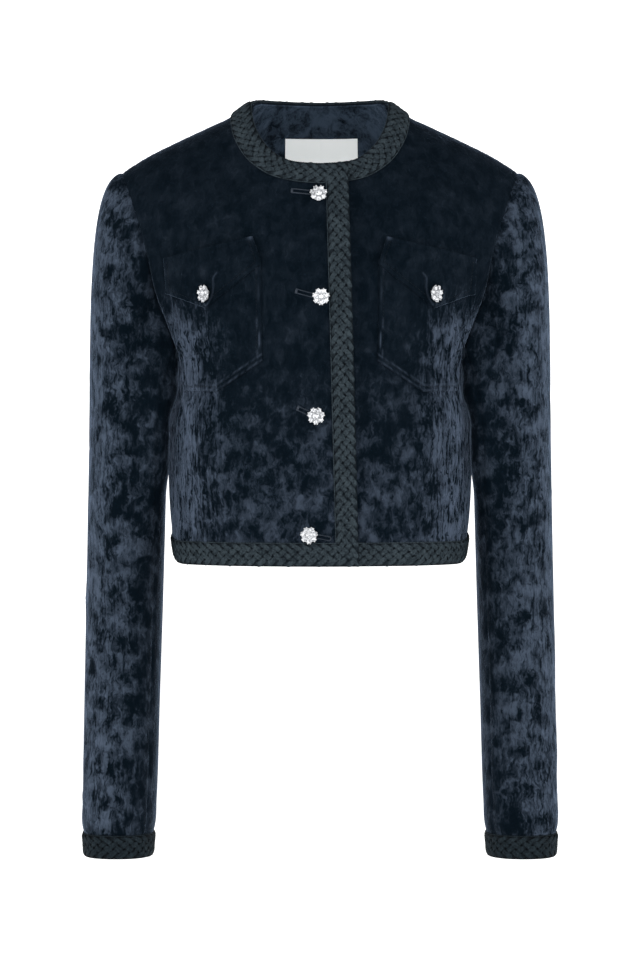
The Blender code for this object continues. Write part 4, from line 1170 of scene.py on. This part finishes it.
def button_parts():
    """The parts of one button about its own axis: back plate and shank, settings, stones and claws."""
    parts = []

    def add(profile, sides, number, place=(0.0, 0.0, 0.0), twist=0.0):
        points, *faces = turned(profile, sides, twist)
        parts.append((points + np.array(place), [(group, number) for group in faces]))

    def on_ring(radius, turn):
        return radius * np.cos(turn), radius * np.sin(turn)

    top = SHANK_LENGTH + BUTTON_HEIGHT
    add(((SHANK_RADIUS, 0.0), (SHANK_RADIUS, SHANK_LENGTH), (0.0058, SHANK_LENGTH + 0.0004),
         (0.0066, SHANK_LENGTH + 0.0012), (0.0062, SHANK_LENGTH + 0.0018)), 28, 1)
    angles = 2 * np.pi * (np.arange(STONES) + 0.25) / STONES
    spots = [(0.0, 0.0, MIDDLE_STONE, top - 0.0016)]
    spots += [(*on_ring(STONE_RING, angle), OUTER_STONE, top - 0.0024) for angle in angles]
    for x, y, radius, height in spots:
        cup = ((0.70, -0.0018), (1.02, -0.0001), (0.98, 0.0002))
        cut = ((0.96, 0.0001), (0.96, 0.0004), (0.78, 0.0010), (0.46, 0.0015))
        for shape, sides, number, twist in ((cup, 16, 1, 0.0), (cut, 10, 0, 0.5)):
            add([(radius * wide, height + up) for wide, up in shape], sides, number, (x, y, 0.0), twist)
    bead = ((0.00022, -0.00055), (0.00050, -0.00025), (0.00055, 0.0001), (0.00038, 0.00042),
            (0.00012, 0.00055))
    for angle in angles:
        for lean in (-CLAW_SPREAD, CLAW_SPREAD):
            add(bead, 8, 1, (*on_ring(CLAW_RING, angle + lean), top - 0.0021))
    return parts


def button(name, place, normal):
    """A button set on the cloth with its axis along the cloth's direction out."""
    across = unit(np.cross(np.array([0.0, 0.0, 1.0]), normal))
    frame_of = np.stack([across, np.cross(normal, across), normal])
    parts = [(points @ frame_of + place, groups) for points, groups in button_parts()]
    made = piece(name + "_stones", parts, [stone, silver], flat=True)
    return stand_for(made, name)


buttons = []
for number, (x, z) in enumerate(BUTTONS, 1):
    place, normal = on_front(np.array(-x), np.array(z), -1, np.array(BUTTON_RISE))
    buttons.append(button("button_%d" % number, place, normal))
pocket_buttons = {}
for side, word in SIDES:
    place, normal = on_front(*np.array(POCKET_BUTTON), side, np.array(POCKET_BUTTON_RISE))
    normal = unit(normal + BUTTON_LEAN * np.array([side, 0.0, 0.0]))
    pocket_buttons[side] = button("pocket_button_" + word, place, normal)

# Buttonholes
# Worked buttonholes in navy silk across the right front: two close rows of stitches, a bar at the inner end
# and a round end towards the edge. Each button covers one end of its own.
BUTTONHOLES = (((-0.0240, -0.0493), (-0.0020, -0.0516)), ((-0.0200, -0.1408), (0.0005, -0.1465)),
               ((-0.0187, -0.2450), (-0.0040, -0.2515)), ((-0.0097, -0.3570), (0.0080, -0.3604)))
THREAD = 0.00045
THREAD_PITCH = 0.0008
SLIT_HALF = 0.0011
ROW_HALF = 0.0023
BAR_HALF = 0.0024
SILK_RISE = 0.0003


def thread(name, dark, light, gloss):
    """Thread between two shades along its ply, with duller spots."""
    def colour(blank):
        return blank.mix(blank.noise(blank.place(), 1400.0, 2.0, 0.6), dark, light)

    return finish(name, colour, uneven(0.45, 0.2, 800.0, 2.0), Specular_IOR_Level=gloss)


silk = thread("navy_silk", (0.008, 0.012, 0.018), (0.026, 0.033, 0.045), 0.15)


def stitches(name, starts, ends, ups, radius, material):
    """Short threads between points: each a six-sided tube of five rings, arched up and sunk at its ends."""
    starts, ends, up = (np.concatenate(k) for k in (starts, ends, ups))
    share = np.linspace(0, 1, 5)[None, :, None, None]
    angle = np.linspace(0, 2 * np.pi, 6, endpoint=False)[None, None, :, None]
    along = unit(ends - starts)
    across = unit(np.cross(along, up))
    bow = np.sin(np.pi * share)
    size = radius * (0.35 + 0.65 * np.sqrt(bow))
    middle = starts[:, None, None] * (1 - share) + ends[:, None, None] * share
    middle = middle + up[:, None, None] * radius * (1.2 * bow - 0.6)
    points = middle + size * (np.cos(angle) * across[:, None, None] + np.sin(angle) * up[:, None, None])
    made = piece(name, [(points, tubes(points, False))], [material])
    return made


starts, ends, ups = [], [], []
for inner, outer in np.array(BUTTONHOLES):
    along = unit(outer - inner)
    turn = np.array([-along[1], along[0]])
    count = int(np.linalg.norm(outer - inner) / THREAD_PITCH)
    row = inner + np.linspace(0, 1, count)[:, None] * (outer - inner)
    fan = np.linspace(-1, 1, 9)[1:-1, None] * np.pi / 2
    round_end = np.cos(fan) * along + np.sin(fan) * turn
    spread = np.concatenate([np.tile(-turn, (count, 1)), round_end, np.tile(turn, (count, 1))])
    middle = np.concatenate([row, np.tile(outer, (len(fan), 1)), row])
    bar = np.tile(inner, (3, 1)) - along * np.linspace(0.0004, 0.0016, 3)[:, None]
    pairs = ((starts, np.concatenate([middle + spread * SLIT_HALF, bar - turn * BAR_HALF])),
             (ends, np.concatenate([middle + spread * ROW_HALF, bar + turn * BAR_HALF])))
    for store, spot in pairs:
        place, normal = on_front(-spot[:, 0], spot[:, 1], -1, np.full(len(spot), SILK_RISE))
        store.append(place)
    ups.append(normal)
buttonholes = stitches("buttonholes", starts, ends, ups, THREAD, silk)

# Topstitching
# Small navy stitches a few millimetres inside the edges of the pockets and flaps.
STITCH = 0.0022
STITCH_PITCH = 0.0030
STITCH_RADIUS = 0.00026
STITCH_SINK = 0.0001
sewing_thread = thread("sewing_thread", (0.0012, 0.0026, 0.0044), (0.0036, 0.0058, 0.0090), 0.05)


def inset(corners, by):
    """A line of corners moved to the inside of its turn by a distance, each corner along its own bisector."""
    corners = np.array(corners)
    along = unit(np.diff(corners, axis=0))
    turn = np.stack([-along[:, 1], along[:, 0]], axis=1)
    bisector = unit(turn[:-1] + turn[1:])
    reach = 1 / np.maximum(np.sum(bisector * turn[1:], axis=1, keepdims=True), 0.5)
    return corners + by * np.concatenate([turn[:1], bisector * reach, turn[-1:]])


topstitching = {}
for side, word in SIDES:
    starts, ends, ups = [], [], []
    pocket_line = (POCKET_TOP[0], *POCKET_FOOT, POCKET_TOP[2])
    flap_line = (FLAP_TOP[0], *FLAP_FOOT, FLAP_TOP[2])
    for corners, base in ((pocket_line, REST), (flap_line, REST + FLAP_BASE)):
        line = inset(corners, TOPSTITCH)
        length = run(line)
        first = np.arange(0.003, length[-1] - 0.004, STITCH_PITCH)
        for store, at in ((starts, first), (ends, first + STITCH)):
            spot = np.stack([np.interp(at, length, line[:, k]) for k in (0, 1)], axis=1)
            rise = np.full(len(first), base + POCKET_WALL - STITCH_SINK)
            place, normal = on_front(spot[:, 0], spot[:, 1], side, rise)
            store.append(place)
        ups.append(normal)
    topstitching[side] = stitches("topstitching_" + word, starts, ends, ups, STITCH_RADIUS, sewing_thread)

# Cut of the cloth
# The flat size and area of each piece of cloth before sewing, what it hangs from or lies on, and its trims.
sheets = [
    (fronts[-1], (0.225, 0.445), 0.0880, "hung", [back], [front_braid, buttonholes, *buttons]),
    (fronts[1], (0.210, 0.445), 0.0835, "hung", [back], []),
    (back, (0.405, 0.435), 0.1610, "hung", [facing], [neck_braid, hem_braid]),
    (facing, (0.185, 0.086), 0.0150, "hung", [back], []),
    (label, (2 * LABEL_HALF, LABEL_TOP - LABEL_FOOT), None, "hung", [facing], []),
]
for side in (-1, 1):
    sheets += [
        (sleeves["top_sleeve", side], (0.225, 0.650), 0.1210, "hung", [fronts[side], back],
         [cuff_braids[side]]),
        (sleeves["under_sleeve", side], (0.092, 0.455), 0.0360, "hung", [fronts[side], back], []),
        (pockets[side], (0.098, 0.122), 0.0104, "laid", [fronts[side]], [topstitching[side]]),
        (flaps[side], (0.096, 0.066), 0.0043, "laid", [pockets[side]], [pocket_buttons[side]]),
    ]

# Studio
# A pale round floor that curves up into a low wall all round, with a broad soft light on each side and one
# in front. It belongs to the picture and not to the jacket.
FLOOR = -0.80
FLOOR_RADIUS = 7.8
WALL_CURVE = 1.2
WALL_TOP = 2.2
EYE_AWAY = 3.2
EYE_HEIGHT = -0.3082
PICTURE_HEIGHT = 960
PIXEL = 0.00092


def stage_colour(blank):
    """Pale paper with hardly any unevenness."""
    return blank.mix(blank.noise(blank.place(), 2.0, 2.0, 0.5), (0.93, 0.93, 0.93), (0.96, 0.96, 0.96))


paper = finish("pale_paper", stage_colour, None, None, Roughness=0.9, Emission_Color=(1.0, 1.0, 1.0, 1.0),
               Emission_Strength=0.55)
turn = np.linspace(0, np.pi / 2, 16)
curve = np.stack([FLOOR_RADIUS + WALL_CURVE * np.sin(turn), FLOOR + WALL_CURVE * (1 - np.cos(turn))], axis=1)
profile = [(0.6, FLOOR), (3.0, FLOOR), *curve.tolist(), (FLOOR_RADIUS + WALL_CURVE, WALL_TOP)]
points, quads, low, high = turned(profile, 96)
mesh = bpy.data.meshes.new("studio_floor")
mesh.from_pydata(points.tolist(), [], quads[:, ::-1].tolist() + low[:, ::-1].tolist())
mesh.polygons.foreach_set("use_smooth", np.ones(len(quads) + 1, bool))
mesh.materials.append(paper)
floor = bpy.data.objects.new("studio_floor", mesh)
bpy.context.scene.collection.objects.link(floor)

world = bpy.data.worlds.new("studio")
world.use_nodes = True
world.node_tree.nodes["Background"].inputs["Color"].default_value = (1.0, 1.0, 1.0, 1.0)
world.node_tree.nodes["Background"].inputs["Strength"].default_value = 0.45
bpy.context.scene.world = world
bpy.context.scene.view_settings.view_transform = "Standard"


def soft_light(name, place, aim, size, power):
    """A square area light that faces a point."""
    lamp = bpy.data.lights.new(name, "AREA")
    lamp.size = size
    lamp.energy = power
    made = bpy.data.objects.new(name, lamp)
    made.location = place
    way = np.asarray(aim, float) - np.asarray(place, float)
    made.rotation_euler = (np.arctan2(np.hypot(way[0], way[1]), -way[2]), 0.0, np.arctan2(-way[0], way[1]))
    bpy.context.scene.collection.objects.link(made)


soft_light("light_left", (-2.2, -1.0, 0.5), (0, 0, -0.3), 1.6, 50.0)
soft_light("light_right", (2.2, -1.0, 0.5), (0, 0, -0.3), 1.6, 50.0)
soft_light("light_front", (0.0, -3.6, 0.5), (0, 0, -0.2), 1.2, 76.0)

camera = bpy.data.cameras.new("camera")
camera.sensor_width = 36.0
camera.lens = camera.sensor_width * EYE_AWAY / (PICTURE_HEIGHT * PIXEL)
camera.clip_end = 50.0
eye = bpy.data.objects.new("camera", camera)
eye.location = (0.0, -EYE_AWAY, EYE_HEIGHT)
eye.rotation_euler = (np.pi / 2, 0.0, 0.0)
bpy.context.scene.collection.objects.link(eye)
bpy.context.scene.camera = eye
